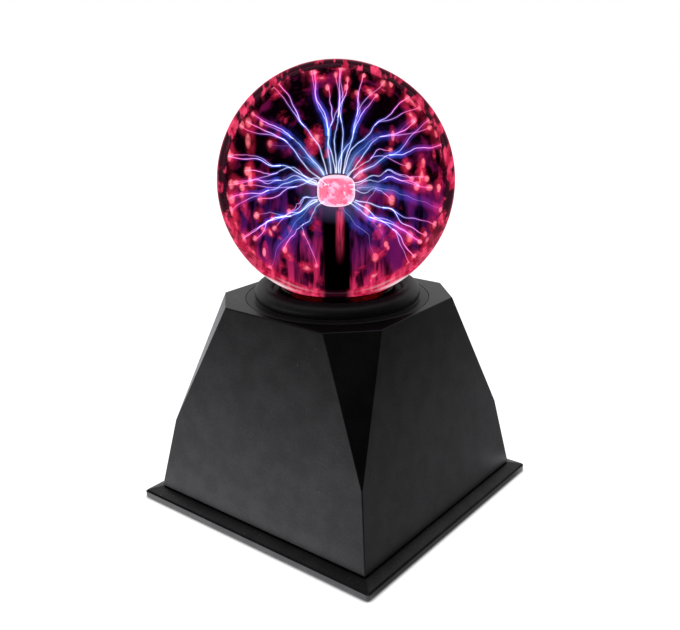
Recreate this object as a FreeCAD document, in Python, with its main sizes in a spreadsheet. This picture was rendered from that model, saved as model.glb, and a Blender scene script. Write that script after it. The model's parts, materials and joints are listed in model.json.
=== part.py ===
import FreeCAD, Part

# Plasma ball: a gas-filled glass globe on a square, tapered base whose corners are clipped by
# long triangular facets. A high-voltage driver in the base feeds an electrode on a glass stem in
# the middle of the globe.
#
# Millimetres. Z is up from the table, the origin is under the middle of the base, -Y is the
# front and +Y the rear, where the power socket, the mode switch and the microphone are.

import math
import os
import re

import Sketcher
from FreeCAD import Placement, Rotation, Vector

SIZES = {
    # base plate: a square tray with a bevelled rim and a sloping apron up to the shell
    "plate_half": 64.2,
    "plate_corner": 1.4,
    "plate_underside": 0.8,
    "rim_level": 2.9,
    "bevel_half": 63.5,
    "bevel_level": 3.6,
    "apron_half": 58.9,
    "apron_level": 4.9,
    "plinth_half": 57.7,
    "floor_level": 3.5,
    "rib_half": 55,
    "rib_wall": 1.6,
    "rib_top": 9,
    "vent_length": 30,
    "vent_width": 2.5,
    "vent_pitch": 7,
    # rubber feet, let into the underside
    "foot_reach": 54.5,
    "foot_radius": 4.9,
    "foot_recess_radius": 5.1,
    "foot_top": 1.8,
    # screws that hold the plate to the shell
    "screw_reach": 46.5,
    "screw_radius": 1.15,
    "screw_hole_radius": 1.7,
    "screw_head_radius": 3,
    "screw_sink_radius": 3.4,
    "screw_sink_top": 2.6,
    "screw_end": 16,
    "cross_slot_length": 2.8,
    "cross_slot_width": 0.7,
    "cross_slot_depth": 0.9,
    "plate_boss_radius": 5,
    "plate_boss_top": 5.65,
    # shell: tapered square body; the facets start at a point on each corner edge and widen upward
    "body_foot_half": 58.3,
    "body_foot": 5.7,
    "body_top_half": 42.84,
    "body_top": 93.9,
    "facet_cut": 16.35,
    "facet_tip": 37,
    "shell_wall": 2.4,
    "edge_round": 0.6,
    "seat_radius": 40.35,
    "seat_depth": 2,
    "throat_radius": 23.2,
    "boss_radius": 4,
    "boss_top": 50,
    "boss_pilot_radius": 1.2,
    "boss_pilot_top": 22,
    "gusset_width": 1.6,
    "gusset_length": 24,
    "gusset_start": 9.5,
    # collar ring: a disc let into the roof, a half-round bead and a platform for the gasket
    "collar_radius": 40,
    "collar_edge": 0.3,
    "collar_rise": 0.1,
    "collar_bore": 22.6,
    "platform_radius": 30,
    "platform_level": 97.2,
    "bead_circle": 32.2,
    "bead_radius": 4.2,
    "bead_level": 96,
    "peg_circle": 30.5,
    "peg_radius": 2.6,
    "peg_hole_radius": 2.8,
    "peg_pilot_radius": 1,
    "peg_pilot_top": 95,
    # glass globe, with an open neck
    "globe_radius": 50,
    "globe_level": 143.7,
    "glass_wall": 1.6,
    "neck_radius": 20,
    "neck_bottom": 80,
    "neck_blend": 2,
    # glass stem: flare sealed into the neck, slim tube, barrel-shaped bulb round the electrode
    "stem_radius": 5.5,
    "stem_bore": 4.3,
    "flare_radius": 18.35,
    "flare_wall": 1.4,
    "flare_bottom": 82,
    "flare_top": 92,
    "bulb_radius": 8.7,
    "bulb_bottom": 133,
    "bulb_top": 147,
    "bulb_wall": 0.6,
    "bulb_shoulder": 1.5,
    "exhaust_x": 11,
    "exhaust_radius": 2,
    "exhaust_bottom": 77,
    "core_gap": 0.3,
    "liner_radius": 4.15,
    "liner_bore": 1.3,
    "liner_bottom": 86,
    "liner_top": 131,
    # seat of the globe: clear gasket under the ball, silicone round the neck, cap on its end
    "gasket_bore": 22.8,
    "gasket_radius": 25,
    "bond_radius": 22.4,
    "bond_bottom": 88.5,
    "bond_top": 94.5,
    "bond_gap": 0.02,
    "boot_radius": 22,
    "boot_bore": 20.1,
    "boot_bottom": 72,
    "boot_floor": 74.5,
    "boot_top": 88,
    "boot_lead_hole": 1.1,
    # neck holder: screwed up into the collar ring's pegs from inside the shell
    "holder_radius": 34.5,
    "holder_bore": 22.5,
    "holder_tube_radius": 24.7,
    "holder_bottom": 77,
    "holder_flange": 2.5,
    "holder_hole_radius": 1.6,
    "small_screw_radius": 0.95,
    "small_head_radius": 2.2,
    "small_head_height": 1.4,
    "holder_screw_top": 94,
    # circuit board on four standoffs
    "board_length": 80,
    "board_width": 62,
    "board_level": 9.5,
    "board_thickness": 1.6,
    "board_corner": 2,
    "standoff_x": 35,
    "standoff_y": 26,
    "standoff_radius": 3,
    "standoff_pilot_bottom": 4.6,
    "board_hole_radius": 1.6,
    "board_screw_bottom": 5,
    # transformer: two ferrite halves with a round centre leg, bobbin and two windings
    "core_x": -18,
    "core_length": 34,
    "core_depth": 12,
    "core_height": 30,
    "core_lift": 0.4,
    "window_width": 8,
    "window_height": 20,
    "leg_radius": 5,
    "bobbin_bore": 5.15,
    "bobbin_radius": 6.3,
    "bobbin_flange_radius": 12.5,
    "bobbin_flange": 1,
    "bobbin_gap": 0.2,
    "primary_radius": 8.5,
    "high_voltage_bore": 8.6,
    "high_voltage_radius": 11.8,
    "winding_gap": 0.05,
    # heatsink with fins and the transistor screwed to it
    "sink_x": 22,
    "sink_plate": 2,
    "sink_width": 30,
    "sink_height": 28,
    "fin_length": 10.5,
    "fin_thickness": 1.2,
    "fin_pitch": 5.5,
    "fin_root": 0.02,
    "pad_thickness": 0.3,
    "pad_width": 12,
    "pad_height": 18,
    "tab_thickness": 1.3,
    "tab_width": 10.2,
    "tab_height": 15.6,
    "tab_lift": 6,
    "case_thickness": 3.2,
    "case_height": 9,
    "leg_pitch": 2.54,
    "leg_width": 0.8,
    "leg_thickness": 0.5,
    "leg_inset": 1.6,
    "tab_screw_lift": 18.8,
    "tab_screw_radius": 1.4,
    "tab_screw_hole": 1.5,
    "tab_screw_head": 2.7,
    "tab_screw_length": 6.5,
    # small parts on the board
    "can_lift": 0.4,
    "can_crimp": 0.35,
    "can_crimp_out": 0.1,
    "can_crimp_level": 2.2,
    "film_length": 13,
    "film_width": 5,
    "film_height": 9,
    "film_y": 21,
    "film_x": 8.5,
    "film_round": 0.8,
    "resistor_x": -22,
    "resistor_y": -17,
    "resistor_pitch": 3,
    "resistor_radius": 1.15,
    "resistor_length": 6.3,
    "resistor_lift": 1.4,
    "resistor_span": 9.6,
    "wire_leg_radius": 0.3,
    "chip_x": -24,
    "chip_y": 22,
    "chip_length": 9.6,
    "chip_width": 6.2,
    "chip_height": 3.4,
    "chip_lift": 0.6,
    "chip_pin_width": 0.5,
    "chip_pin_reach": 3.9,
    "preset_x": 22,
    "preset_y": 23,
    "preset_side": 6.6,
    "preset_height": 4,
    "preset_recess_radius": 2.5,
    "preset_recess_depth": 1.6,
    "preset_disc_radius": 2.42,
    "preset_disc_height": 1.5,
    "preset_hole_radius": 0.85,
    "preset_spindle_radius": 0.8,
    "preset_spindle_length": 1.6,
    "preset_spindle_gap": 0.1,
    "preset_disc_gap": 0.05,
    "preset_slot_length": 4,
    "preset_slot_width": 0.7,
    "preset_slot_depth": 0.7,
    # rear wall: every part here is drawn from the wall's outer face, with the face's normal as Z
    "rear_level": 22,
    "through_wall": 4,
    "wall_inside": 2.42,
    # power socket for a 5.5 mm plug with a 2.1 mm centre
    "jack_x": 20,
    "jack_hole_radius": 4.1,
    "jack_radius": 3.95,
    "jack_flange_radius": 5.2,
    "jack_flange": 1.2,
    "jack_length": 12,
    "jack_bore_radius": 2.95,
    "jack_bore_depth": 9,
    "jack_pin_radius": 1.05,
    "jack_pin_recess": 0.6,
    "jack_pin_root_radius": 0.6,
    "jack_pin_root_hole": 0.65,
    "jack_nut_radius": 5.6,
    "jack_nut_bore": 4,
    "jack_nut_height": 2,
    "terminal_width": 2,
    "terminal_thickness": 0.4,
    "terminal_length": 4,
    "terminal_offset": 2.4,
    # three-position slide switch, drawn with its slider at the end of its travel
    "switch_x": -12,
    "switch_travel": 5,
    "switch_window": 9.4,
    "switch_window_height": 4.2,
    "switch_plate_length": 20,
    "switch_plate_height": 6.6,
    "switch_plate_thickness": 0.5,
    "switch_ear": 7.6,
    "switch_body_length": 12.6,
    "switch_body_height": 5.6,
    "switch_body_depth": 4.6,
    "switch_track_length": 10.4,
    "switch_track_height": 3.9,
    "switch_track_depth": 3,
    "carriage_length": 5.2,
    "carriage_height": 3.74,
    "carriage_thickness": 2,
    "carriage_gap": 0.1,
    "knob_length": 3.8,
    "knob_height": 3.4,
    "knob_reach": 2.2,
    "knob_groove": 0.5,
    "knob_groove_pitch": 1.1,
    "switch_pin_pitch": 2.5,
    "switch_pin_radius": 0.4,
    "switch_pin_length": 2.5,
    "switch_body_gap": 0.02,
    "switch_screw_hole": 1.1,
    "switch_screw_head": 1.9,
    "switch_screw_head_height": 0.9,
    "switch_screw_length": 4.6,
    "switch_slot_length": 3,
    "switch_slot_width": 0.5,
    # microphone behind a small port
    "microphone_x": -34,
    "port_radius": 0.9,
    "socket_radius": 5.2,
    "socket_bore": 4.15,
    "socket_depth": 5.5,
    "grommet_radius": 4.1,
    "grommet_bore": 3.1,
    "grommet_depth": 6,
    "grommet_gap": 0.05,
    "capsule_radius": 3.05,
    "capsule_depth": 6.4,
    "capsule_inset": 2.9,
    "capsule_port_depth": 0.3,
    # insulated leads
    "lead_radius": 0.6,
    "lead_gap": 0.05,
    "lead_pull": 6,
    "lead_middle_out": 3.5,
    "lead_middle_rise": 8,
    "lead_row_inset": 3,
    "power_lead_spread": 2,
    "power_lead_aside": 4,
    "microphone_lead_start": 1.2,
    "microphone_lead_spread": 1,
    "microphone_lead_aside": 4,
    "high_voltage_lead_radius": 1,
    "high_voltage_lead_start": 30,
    "high_voltage_lead_bend": 44,
    "high_voltage_lead_pull": 25,
    "high_voltage_lead_side": 14,
    "lead_straight_from": 71,
}

# Electrolytic capacitors: x, y, can radius, can height.
CANS = ((8, -21, 5, 16), (22.5, -22, 3.15, 11))

CORNERS = ((1, 1), (-1, 1), (-1, -1), (1, -1))
VENT_STEPS = (-2, -1, 0, 1, 2)
FIN_STEPS = (-2.5, -1.5, -0.5, 0.5, 1.5, 2.5)
CHIP_PIN_STEPS = (-1.5, -0.5, 0.5, 1.5)
RESISTOR_COUNT = 5
# How far a cutting tool reaches past the face it cuts.
OVERCUT = 1.0
# Below this length an edge counts as having no extent along an axis.
TINY = 1e-6
# Where the corners of an outline stand before its constraints place them.
SKETCH_MIDDLE = 20
SKETCH_SPREAD = 10

doc = FreeCAD.newDocument("plasma_ball")
dims = doc.addObject("Spreadsheet::Sheet", "dims")
for row, (alias, size) in enumerate(SIZES.items(), start=1):
    dims.set("A%d" % row, alias)
    dims.set("B%d" % row, str(size))
    dims.setAlias("B%d" % row, alias)
doc.recompute()

pieces = []


# Binding and placing


def formula(text):
    """An expression in size names, with each name pointed at the spreadsheet."""
    return re.sub(r"[a-z_]+", lambda word: ("dims." if word[0] in SIZES else "") + word[0], str(text))


def bind(item, **sizes):
    for name, text in sizes.items():
        item.setExpression(name, formula(text))
    return item


def move(item, x=0, y=0, z=0):
    for axis, text in (("x", x), ("y", y), ("z", z)):
        item.setExpression("Placement.Base." + axis, formula(text))
    return item


def piece(label, item):
    """Name a finished sub-part; its label names its file."""
    item.Label = label
    pieces.append(item)
    return item


# Primitives. A rod, block or cone stands on the level "low" and ends at the level "high".


def rod(radius, low, high, x=0, y=0):
    item = doc.addObject("Part::Cylinder", "rod")
    bind(item, Radius=radius, Height=f"({high}) - ({low})")
    return move(item, x, y, low)


def block(length, width, low, high, x=0, y=0):
    item = doc.addObject("Part::Box", "block")
    bind(item, Length=length, Width=width, Height=f"({high}) - ({low})")
    return move(item, f"({x}) - ({length}) / 2", f"({y}) - ({width}) / 2", low)


def ball(radius, level):
    return move(bind(doc.addObject("Part::Sphere", "ball"), Radius=radius), z=level)


def frustum(half_low, low, half_high, high, turn=45):
    """Four-sided frustum; half_low and half_high are the centre-to-face distances of its ends."""
    ends = []
    for half, level in ((half_low, low), (half_high, high)):
        end = bind(doc.addObject("Part::RegularPolygon", "end"), Circumradius=f"({half}) * sqrt(2)")
        end.Polygon = 4
        end.Placement = Placement(Vector(), Rotation(Vector(0, 0, 1), turn))
        ends.append(move(end, z=level))
    loft = doc.addObject("Part::Loft", "frustum")
    loft.Sections = ends
    loft.Solid = True
    loft.Ruled = True
    return loft


def origin_plane(body, role):
    return next(plane for plane in body.Origin.OriginFeatures if plane.Role == role)


def turned(*outline):
    """Body turned about the Z axis; the outline is a closed run of (radius, level) corners."""
    body = doc.addObject("PartDesign::Body", "turned")
    sketch = body.newObject("Sketcher::SketchObject", "outline")
    sketch.AttachmentSupport = [(origin_plane(body, "XZ_Plane"), "")]
    sketch.MapMode = "FlatFace"
    # The lines start as a plain ring of the right number of sides; the constraints then place them.
    count = len(outline)
    turns = [2 * math.pi * index / count for index in range(count)]
    middle = Vector(SKETCH_MIDDLE, SKETCH_MIDDLE)
    ring = [middle + Vector(math.cos(turn), math.sin(turn)) * SKETCH_SPREAD for turn in turns]
    lines = [
        sketch.addGeometry(Part.LineSegment(ring[index], ring[(index + 1) % count]), False)
        for index in range(count)
    ]
    for index, line in enumerate(lines):
        sketch.addConstraint(Sketcher.Constraint("Coincident", line, 2, lines[(index + 1) % count], 1))
    for line, start, (radius, level) in zip(lines, ring, outline):
        if radius == 0:
            sketch.addConstraint(Sketcher.Constraint("PointOnObject", line, 1, -2))
        else:
            number = sketch.addConstraint(Sketcher.Constraint("DistanceX", -1, 1, line, 1, start.x))
            sketch.setExpression("Constraints[%d]" % number, formula(radius))
        number = sketch.addConstraint(Sketcher.Constraint("DistanceY", -1, 1, line, 1, start.y))
        sketch.setExpression("Constraints[%d]" % number, formula(level))
    spin = body.newObject("PartDesign::Revolution", "spin")
    spin.Profile = sketch
    spin.ReferenceAxis = (sketch, ["V_Axis"])
    spin.Angle = 360
    body.Tip = spin
    return body


# Booleans


def cut(item, *tools):
    for tool in tools:
        left = doc.addObject("Part::Cut", "cut")
        left.Base = item
        left.Tool = tool
        item = left
    return item


def fuse(*items):
    joined = doc.addObject("Part::MultiFuse", "fuse")
    joined.Shapes = list(items)
    joined.Refine = True
    return joined


def common(*items):
    shared = doc.addObject("Part::MultiCommon", "common")
    shared.Shapes = list(items)
    return shared


def group(*items):
    """Separate solids that share one node."""
    together = doc.addObject("Part::Compound", "group")
    together.Links = list(items)
    return together


def rounded(item, radius, chosen):
    """Fillet every edge that the test chosen(edge) picks."""
    doc.recompute()
    fillet = doc.addObject("Part::Fillet", "fillet")
    fillet.Base = item
    fillet.Edges = [
        (number, radius, radius)
        for number, edge in enumerate(item.Shape.Edges, start=1)
        if chosen(edge)
    ]
    return fillet


def tube(radius, bore, low, high, x=0, y=0):
    inside = rod(bore, f"({low}) - {OVERCUT}", f"({high}) + {OVERCUT}", x, y)
    return cut(rod(radius, low, high, x, y), inside)


def at_corners(make, reach_x, reach_y):
    """Four copies of an upright feature, one toward each corner."""
    return [make(f"{side_x} * ({reach_x})", f"{side_y} * ({reach_y})") for side_x, side_y in CORNERS]


def on_circle(make, circle):
    """Four copies of an upright feature on a circle, on the diagonals."""
    return at_corners(make, f"({circle}) / sqrt(2)", f"({circle}) / sqrt(2)")


# The body's tapered outline


def half_at(level):
    """Half-width of the body's flat walls at a level."""
    taper = "(body_foot_half - body_top_half) / (body_top - body_foot)"
    return f"(body_foot_half - (({level}) - body_foot) * {taper})"


def facet_at(level):
    """Distance from the axis to a corner facet, along the diagonal, at a level."""
    top = "((2 * body_top_half - facet_cut) / sqrt(2))"
    tip = f"({half_at('facet_tip')} * sqrt(2))"
    return f"({top} + (body_top - ({level})) * ({tip} - {top}) / (body_top - facet_tip))"


def tapered_block(low, high, inset):
    walls = frustum(f"{half_at(low)} - {inset}", low, f"{half_at(high)} - {inset}", high)
    facets = frustum(f"{facet_at(low)} - {inset}", low, f"{facet_at(high)} - {inset}", high, turn=0)
    return common(walls, facets)


# The rear wall's own frame: X runs across the lamp, Y down the wall and Z out of it.

wall_rise = dims.body_top - dims.body_foot
wall_lean = math.degrees(math.atan((dims.body_foot_half - dims.body_top_half) / wall_rise))
REAR_TURN = Rotation(Vector(1, 0, 0), wall_lean - 90)


def on_rear_wall(item, x):
    """Carry an item drawn in the rear wall's frame to its place on the wall."""
    carried = group(item)
    carried.Placement = Placement(Vector(), REAR_TURN)
    return move(carried, x, half_at("rear_level"), "rear_level")


def rear_point(x, out, across=0, down=0):
    """A point given in the rear wall's frame, in the lamp's own frame."""
    taper = (dims.body_foot_half - dims.body_top_half) / wall_rise
    face_y = dims.body_foot_half - (dims.rear_level - dims.body_foot) * taper
    turned_point = REAR_TURN.multVec(Vector(across, down, out))
    return Vector(x, face_y, dims.rear_level) + turned_point


# Base plate, feet and the screws between plate and shell


def base_plate():
    rim = block("2 * plate_half", "2 * plate_half", "plate_underside", "rim_level")
    rim = rounded(rim, dims.plate_corner, is_upright)
    bevel = frustum("plate_half", "rim_level", "bevel_half", "bevel_level")
    bevel = rounded(bevel, dims.plate_corner, is_leaning)
    apron = frustum("bevel_half", "bevel_level", "apron_half", "apron_level")
    apron = rounded(apron, dims.plate_corner, is_leaning)
    plinth = block("2 * plinth_half", "2 * plinth_half", "floor_level", "body_foot")
    rib = block("2 * rib_half", "2 * rib_half", "floor_level", "rib_top")
    inside = "2 * (rib_half - rib_wall)"
    hollow = block(inside, inside, "floor_level", f"rib_top + {OVERCUT}")
    tray = cut(fuse(rim, bevel, apron, plinth, rib), hollow)

    bosses = at_corners(
        lambda x, y: rod("plate_boss_radius", "rim_level", "plate_boss_top", x, y),
        "screw_reach",
        "screw_reach",
    )
    standoffs = at_corners(
        lambda x, y: rod("standoff_radius", "rim_level", "board_level", x, y),
        "standoff_x",
        "standoff_y",
    )
    tray = fuse(tray, *bosses, *standoffs)

    below = f"plate_underside - {OVERCUT}"
    holes = at_corners(
        lambda x, y: rod("screw_hole_radius", below, f"plate_boss_top + {OVERCUT}", x, y),
        "screw_reach",
        "screw_reach",
    )
    holes += at_corners(
        lambda x, y: rod("screw_sink_radius", below, "screw_sink_top", x, y),
        "screw_reach",
        "screw_reach",
    )
    holes += at_corners(
        lambda x, y: rod("foot_recess_radius", below, "foot_top", x, y), "foot_reach", "foot_reach"
    )
    holes += at_corners(
        lambda x, y: rod("peg_pilot_radius", "standoff_pilot_bottom", f"board_level + {OVERCUT}", x, y),
        "standoff_x",
        "standoff_y",
    )
    vents = [
        block("vent_length", "vent_width", below, f"floor_level + {OVERCUT}", y=f"{step} * vent_pitch")
        for step in VENT_STEPS
    ]
    return piece("base_plate", cut(tray, *holes, *vents))


def is_upright(edge):
    return edge.BoundBox.XLength < TINY and edge.BoundBox.YLength < TINY


def is_leaning(edge):
    return edge.BoundBox.ZLength > TINY


def rubber_feet():
    feet = at_corners(lambda x, y: rod("foot_radius", 0, "foot_top", x, y), "foot_reach", "foot_reach")
    return piece("rubber_feet", group(*feet))


def base_screws():
    def screw(x, y):
        head = rod("screw_head_radius", "plate_underside", "screw_sink_top", x, y)
        shank = rod("screw_radius", "screw_sink_top", "screw_end", x, y)
        return with_cross_slot(fuse(head, shank), "plate_underside", x, y)

    return piece("base_screws", group(*at_corners(screw, "screw_reach", "screw_reach")))


def with_cross_slot(screw, face, x, y):
    """Cross slot in a head that faces down at the level face."""
    low = f"({face}) - {OVERCUT}"
    high = f"({face}) + cross_slot_depth"
    one_arm = block("cross_slot_length", "cross_slot_width", low, high, x, y)
    other_arm = block("cross_slot_width", "cross_slot_length", low, high, x, y)
    return cut(screw, one_arm, other_arm)


# Shell


def body_shell():
    outer = tapered_block("body_foot", "body_top", 0)
    outer = rounded(outer, dims.edge_round, lambda edge: edge.BoundBox.ZMax > dims.body_foot + OVERCUT)
    roof_inside = "body_top - seat_depth - shell_wall"
    hollow = tapered_block(f"body_foot - {OVERCUT}", roof_inside, "shell_wall")
    bosses = at_corners(
        lambda x, y: rod("boss_radius", "body_foot", "boss_top", x, y), "screw_reach", "screw_reach"
    )
    gussets = []
    for angle in (45, 135, 225, 315):
        gusset = block(0, 0, "gusset_start", "boss_top")
        bind(gusset, Length="gusset_length", Width="gusset_width")
        gusset.Placement = Placement(Vector(), Rotation(Vector(0, 0, 1), angle))
        gussets.append(gusset_from_boss(gusset, angle))
    supports = common(outer, fuse(*bosses, *gussets))
    socket = on_rear_wall(rod("socket_radius", "-socket_depth", "-shell_wall / 2"), "microphone_x")
    shell = fuse(cut(outer, hollow), supports, socket)

    seat = rod("seat_radius", "body_top - seat_depth", f"body_top + {OVERCUT}")
    throat = rod("throat_radius", f"{roof_inside} - {OVERCUT}", f"body_top + {OVERCUT}")
    above = f"body_top + {OVERCUT}"
    peg_holes = on_circle(
        lambda x, y: rod("peg_hole_radius", f"{roof_inside} - {OVERCUT}", above, x, y), "peg_circle"
    )
    pilots = at_corners(
        lambda x, y: rod("boss_pilot_radius", f"body_foot - {OVERCUT}", "boss_pilot_top", x, y),
        "screw_reach",
        "screw_reach",
    )
    shell = cut(shell, seat, throat, *peg_holes, *pilots)
    return piece("body_shell", cut(shell, *rear_openings()))


def gusset_from_boss(gusset, angle):
    """Stand a gusset on edge so that it runs from a boss out to the corner."""
    along = (math.cos(math.radians(angle)), math.sin(math.radians(angle)))
    start = "(screw_reach * sqrt(2))"
    x = f"{along[0]:.6f} * {start} + {along[1]:.6f} * gusset_width / 2"
    y = f"{along[1]:.6f} * {start} - {along[0]:.6f} * gusset_width / 2"
    return move(gusset, x, y, "gusset_start")


def rear_openings():
    inside = "-through_wall"
    outside = OVERCUT
    jack = on_rear_wall(rod("jack_hole_radius", inside, outside), "jack_x")
    window = on_rear_wall(
        block("switch_window", "switch_window_height", inside, outside), "switch_x"
    )
    ears = [
        on_rear_wall(rod("switch_screw_hole", inside, outside), f"switch_x + {side} * switch_ear")
        for side in (-1, 1)
    ]
    port = on_rear_wall(rod("port_radius", inside, outside), "microphone_x")
    socket = on_rear_wall(
        rod("socket_bore", f"-socket_depth - {OVERCUT}", "-wall_inside"), "microphone_x"
    )
    return [jack, window, *ears, port, socket]


# Collar ring, gasket and the parts that hold the globe's neck


def collar_ring():
    low = "body_top - seat_depth"
    top = "body_top + collar_rise"
    disc = turned(
        ("collar_bore", low),
        ("collar_radius", low),
        ("collar_radius", f"{top} - collar_edge"),
        ("collar_radius - collar_edge", top),
        ("platform_radius", top),
        ("platform_radius", "platform_level"),
        ("collar_bore", "platform_level"),
    )
    bead = bind(doc.addObject("Part::Torus", "bead"), Radius1="bead_circle", Radius2="bead_radius")
    move(bead, z="bead_level")
    above_disc = rod("collar_radius", f"{low} + collar_edge", f"bead_level + bead_radius + {OVERCUT}")
    pegs = on_circle(lambda x, y: rod("peg_radius", f"{low} - shell_wall", top, x, y), "peg_circle")
    pilots = on_circle(
        lambda x, y: rod("peg_pilot_radius", f"{low} - shell_wall - {OVERCUT}", "peg_pilot_top", x, y),
        "peg_circle",
    )
    return piece("collar_ring", cut(fuse(disc, common(bead, above_disc), *pegs), *pilots))


def globe_gasket():
    ring = tube("gasket_radius", "gasket_bore", "platform_level", "globe_level - globe_radius / 2")
    return piece("globe_gasket", cut(ring, ball("globe_radius", "globe_level")))


def silicone_bond():
    ring = tube("bond_radius", "neck_radius + bond_gap", "bond_bottom", "bond_top")
    return piece("silicone_bond", ring)


def neck_boot():
    cup = turned(
        ("boot_lead_hole", "boot_bottom"),
        ("boot_radius", "boot_bottom"),
        ("boot_radius", "boot_top"),
        ("boot_bore", "boot_top"),
        ("boot_bore", "boot_floor"),
        ("boot_lead_hole", "boot_floor"),
    )
    return piece("neck_boot", cup)


HOLDER_TOP = "(body_top - seat_depth - shell_wall)"
HOLDER_LOW = f"({HOLDER_TOP} - holder_flange)"


def neck_holder():
    ring = turned(
        ("holder_bore", "holder_bottom"),
        ("holder_tube_radius", "holder_bottom"),
        ("holder_tube_radius", HOLDER_LOW),
        ("holder_radius", HOLDER_LOW),
        ("holder_radius", HOLDER_TOP),
        ("holder_bore", HOLDER_TOP),
    )
    holes = on_circle(
        lambda x, y: rod(
            "holder_hole_radius", f"{HOLDER_LOW} - {OVERCUT}", f"{HOLDER_TOP} + {OVERCUT}", x, y
        ),
        "peg_circle",
    )
    return piece("neck_holder", cut(ring, *holes))


def holder_screws():
    def screw(x, y):
        head_low = f"({HOLDER_LOW} - small_head_height)"
        head = rod("small_head_radius", head_low, HOLDER_LOW, x, y)
        return fuse(head, rod("small_screw_radius", HOLDER_LOW, "holder_screw_top", x, y))

    return piece("holder_screws", group(*on_circle(screw, "peg_circle")))


# Glass and electrode


def glass_globe():
    middle = "globe_level - globe_radius / 2"
    outside = fuse(ball("globe_radius", "globe_level"), rod("neck_radius", "neck_bottom", middle))
    inside = fuse(
        ball("globe_radius - glass_wall", "globe_level"),
        rod("neck_radius - glass_wall", f"neck_bottom - {OVERCUT}", middle),
    )
    glass = cut(outside, inside)

    def where_neck_meets_globe(edge):
        ring = edge.BoundBox
        wide = abs(ring.XLength - 2 * dims.neck_radius) < 3 * dims.glass_wall
        return wide and ring.ZLength < TINY and ring.ZMin > dims.neck_bottom + OVERCUT

    return piece("glass_globe", rounded(glass, dims.neck_blend, where_neck_meets_globe))


def electrode_stem():
    wall = "bulb_wall"
    shoulder = "bulb_shoulder"
    glass = turned(
        ("flare_radius - flare_wall", "flare_bottom"),
        ("flare_radius", "flare_bottom"),
        ("stem_radius", "flare_top"),
        ("stem_radius", "bulb_bottom"),
        (f"bulb_radius - {shoulder}", "bulb_bottom"),
        ("bulb_radius", f"bulb_bottom + {shoulder}"),
        ("bulb_radius", f"bulb_top - {shoulder}"),
        (f"bulb_radius - {shoulder}", "bulb_top"),
        (0, "bulb_top"),
        (0, f"bulb_top - {wall}"),
        (f"bulb_radius - {shoulder} - {wall} / 2", f"bulb_top - {wall}"),
        (f"bulb_radius - {wall}", f"bulb_top - {shoulder} - {wall} / 2"),
        (f"bulb_radius - {wall}", f"bulb_bottom + {shoulder} + {wall} / 2"),
        (f"bulb_radius - {shoulder} - {wall} / 2", f"bulb_bottom + {wall}"),
        ("stem_bore", f"bulb_bottom + {wall}"),
        ("stem_bore", "flare_top - flare_wall / 2"),
    )
    # The sealed stub of the tube the globe was pumped out and filled through.
    halfway = "(flare_bottom + flare_top) / 2"
    tip = "exhaust_bottom + exhaust_radius"
    stub = fuse(
        rod("exhaust_radius", tip, halfway, x="exhaust_x"),
        move(bind(doc.addObject("Part::Sphere", "tip"), Radius="exhaust_radius"), "exhaust_x", 0, tip),
    )
    return piece("electrode_stem", fuse(glass, stub))


def electrode_core():
    radius = "(bulb_radius - bulb_wall - core_gap)"
    low = "(bulb_bottom + bulb_wall + core_gap)"
    high = "(bulb_top - bulb_wall - core_gap)"
    plug = turned(
        (0, low),
        (f"{radius} - bulb_shoulder", low),
        (radius, f"{low} + bulb_shoulder"),
        (radius, f"{high} - bulb_shoulder"),
        (f"{radius} - bulb_shoulder", high),
        (0, high),
    )
    return piece("electrode_core", plug)


def stem_liner():
    return piece("stem_liner", tube("liner_radius", "liner_bore", "liner_bottom", "liner_top"))


# Circuit board, transformer and heatsink

BOARD_TOP = "(board_level + board_thickness)"


def circuit_board():
    board = block("board_length", "board_width", "board_level", BOARD_TOP)
    board = rounded(board, dims.board_corner, is_upright)
    below = f"board_level - {OVERCUT}"
    holes = at_corners(
        lambda x, y: rod("board_hole_radius", below, f"{BOARD_TOP} + {OVERCUT}", x, y),
        "standoff_x",
        "standoff_y",
    )
    return piece("circuit_board", cut(board, *holes))


def board_screws():
    def screw(x, y):
        head = rod("small_head_radius", BOARD_TOP, f"{BOARD_TOP} + small_head_height", x, y)
        return fuse(head, rod("small_screw_radius", "board_screw_bottom", BOARD_TOP, x, y))

    return piece("board_screws", group(*at_corners(screw, "standoff_x", "standoff_y")))


CORE_LOW = f"({BOARD_TOP} + core_lift)"
WINDOW_LOW = f"({CORE_LOW} + (core_height - window_height) / 2)"
WINDOW_HIGH = f"({WINDOW_LOW} + window_height)"
WINDING_LOW = f"({WINDOW_LOW} + bobbin_gap + bobbin_flange + winding_gap)"
WINDING_HIGH = f"({WINDOW_HIGH} - bobbin_gap - bobbin_flange - winding_gap)"


def transformer():
    body = block("core_length", "core_depth", CORE_LOW, f"{CORE_LOW} + core_height", x="core_x")
    window = block(
        "2 * (window_width + leg_radius)", f"core_depth + {OVERCUT}", WINDOW_LOW, WINDOW_HIGH, x="core_x"
    )
    leg = rod("leg_radius", WINDOW_LOW, WINDOW_HIGH, x="core_x")
    piece("transformer_core", fuse(cut(body, window), leg))

    low = f"{WINDOW_LOW} + bobbin_gap"
    high = f"{WINDOW_HIGH} - bobbin_gap"
    spool = turned(
        ("bobbin_bore", low),
        ("bobbin_flange_radius", low),
        ("bobbin_flange_radius", f"{low} + bobbin_flange"),
        ("bobbin_radius", f"{low} + bobbin_flange"),
        ("bobbin_radius", f"{high} - bobbin_flange"),
        ("bobbin_flange_radius", f"{high} - bobbin_flange"),
        ("bobbin_flange_radius", high),
        ("bobbin_bore", high),
    )
    piece("transformer_bobbin", move(spool, x="core_x"))
    windings = (
        ("primary_winding", "primary_radius", "bobbin_radius + winding_gap"),
        ("high_voltage_winding", "high_voltage_radius", "high_voltage_bore"),
    )
    for label, radius, bore in windings:
        piece(label, tube(radius, bore, WINDING_LOW, WINDING_HIGH, x="core_x"))


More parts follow.
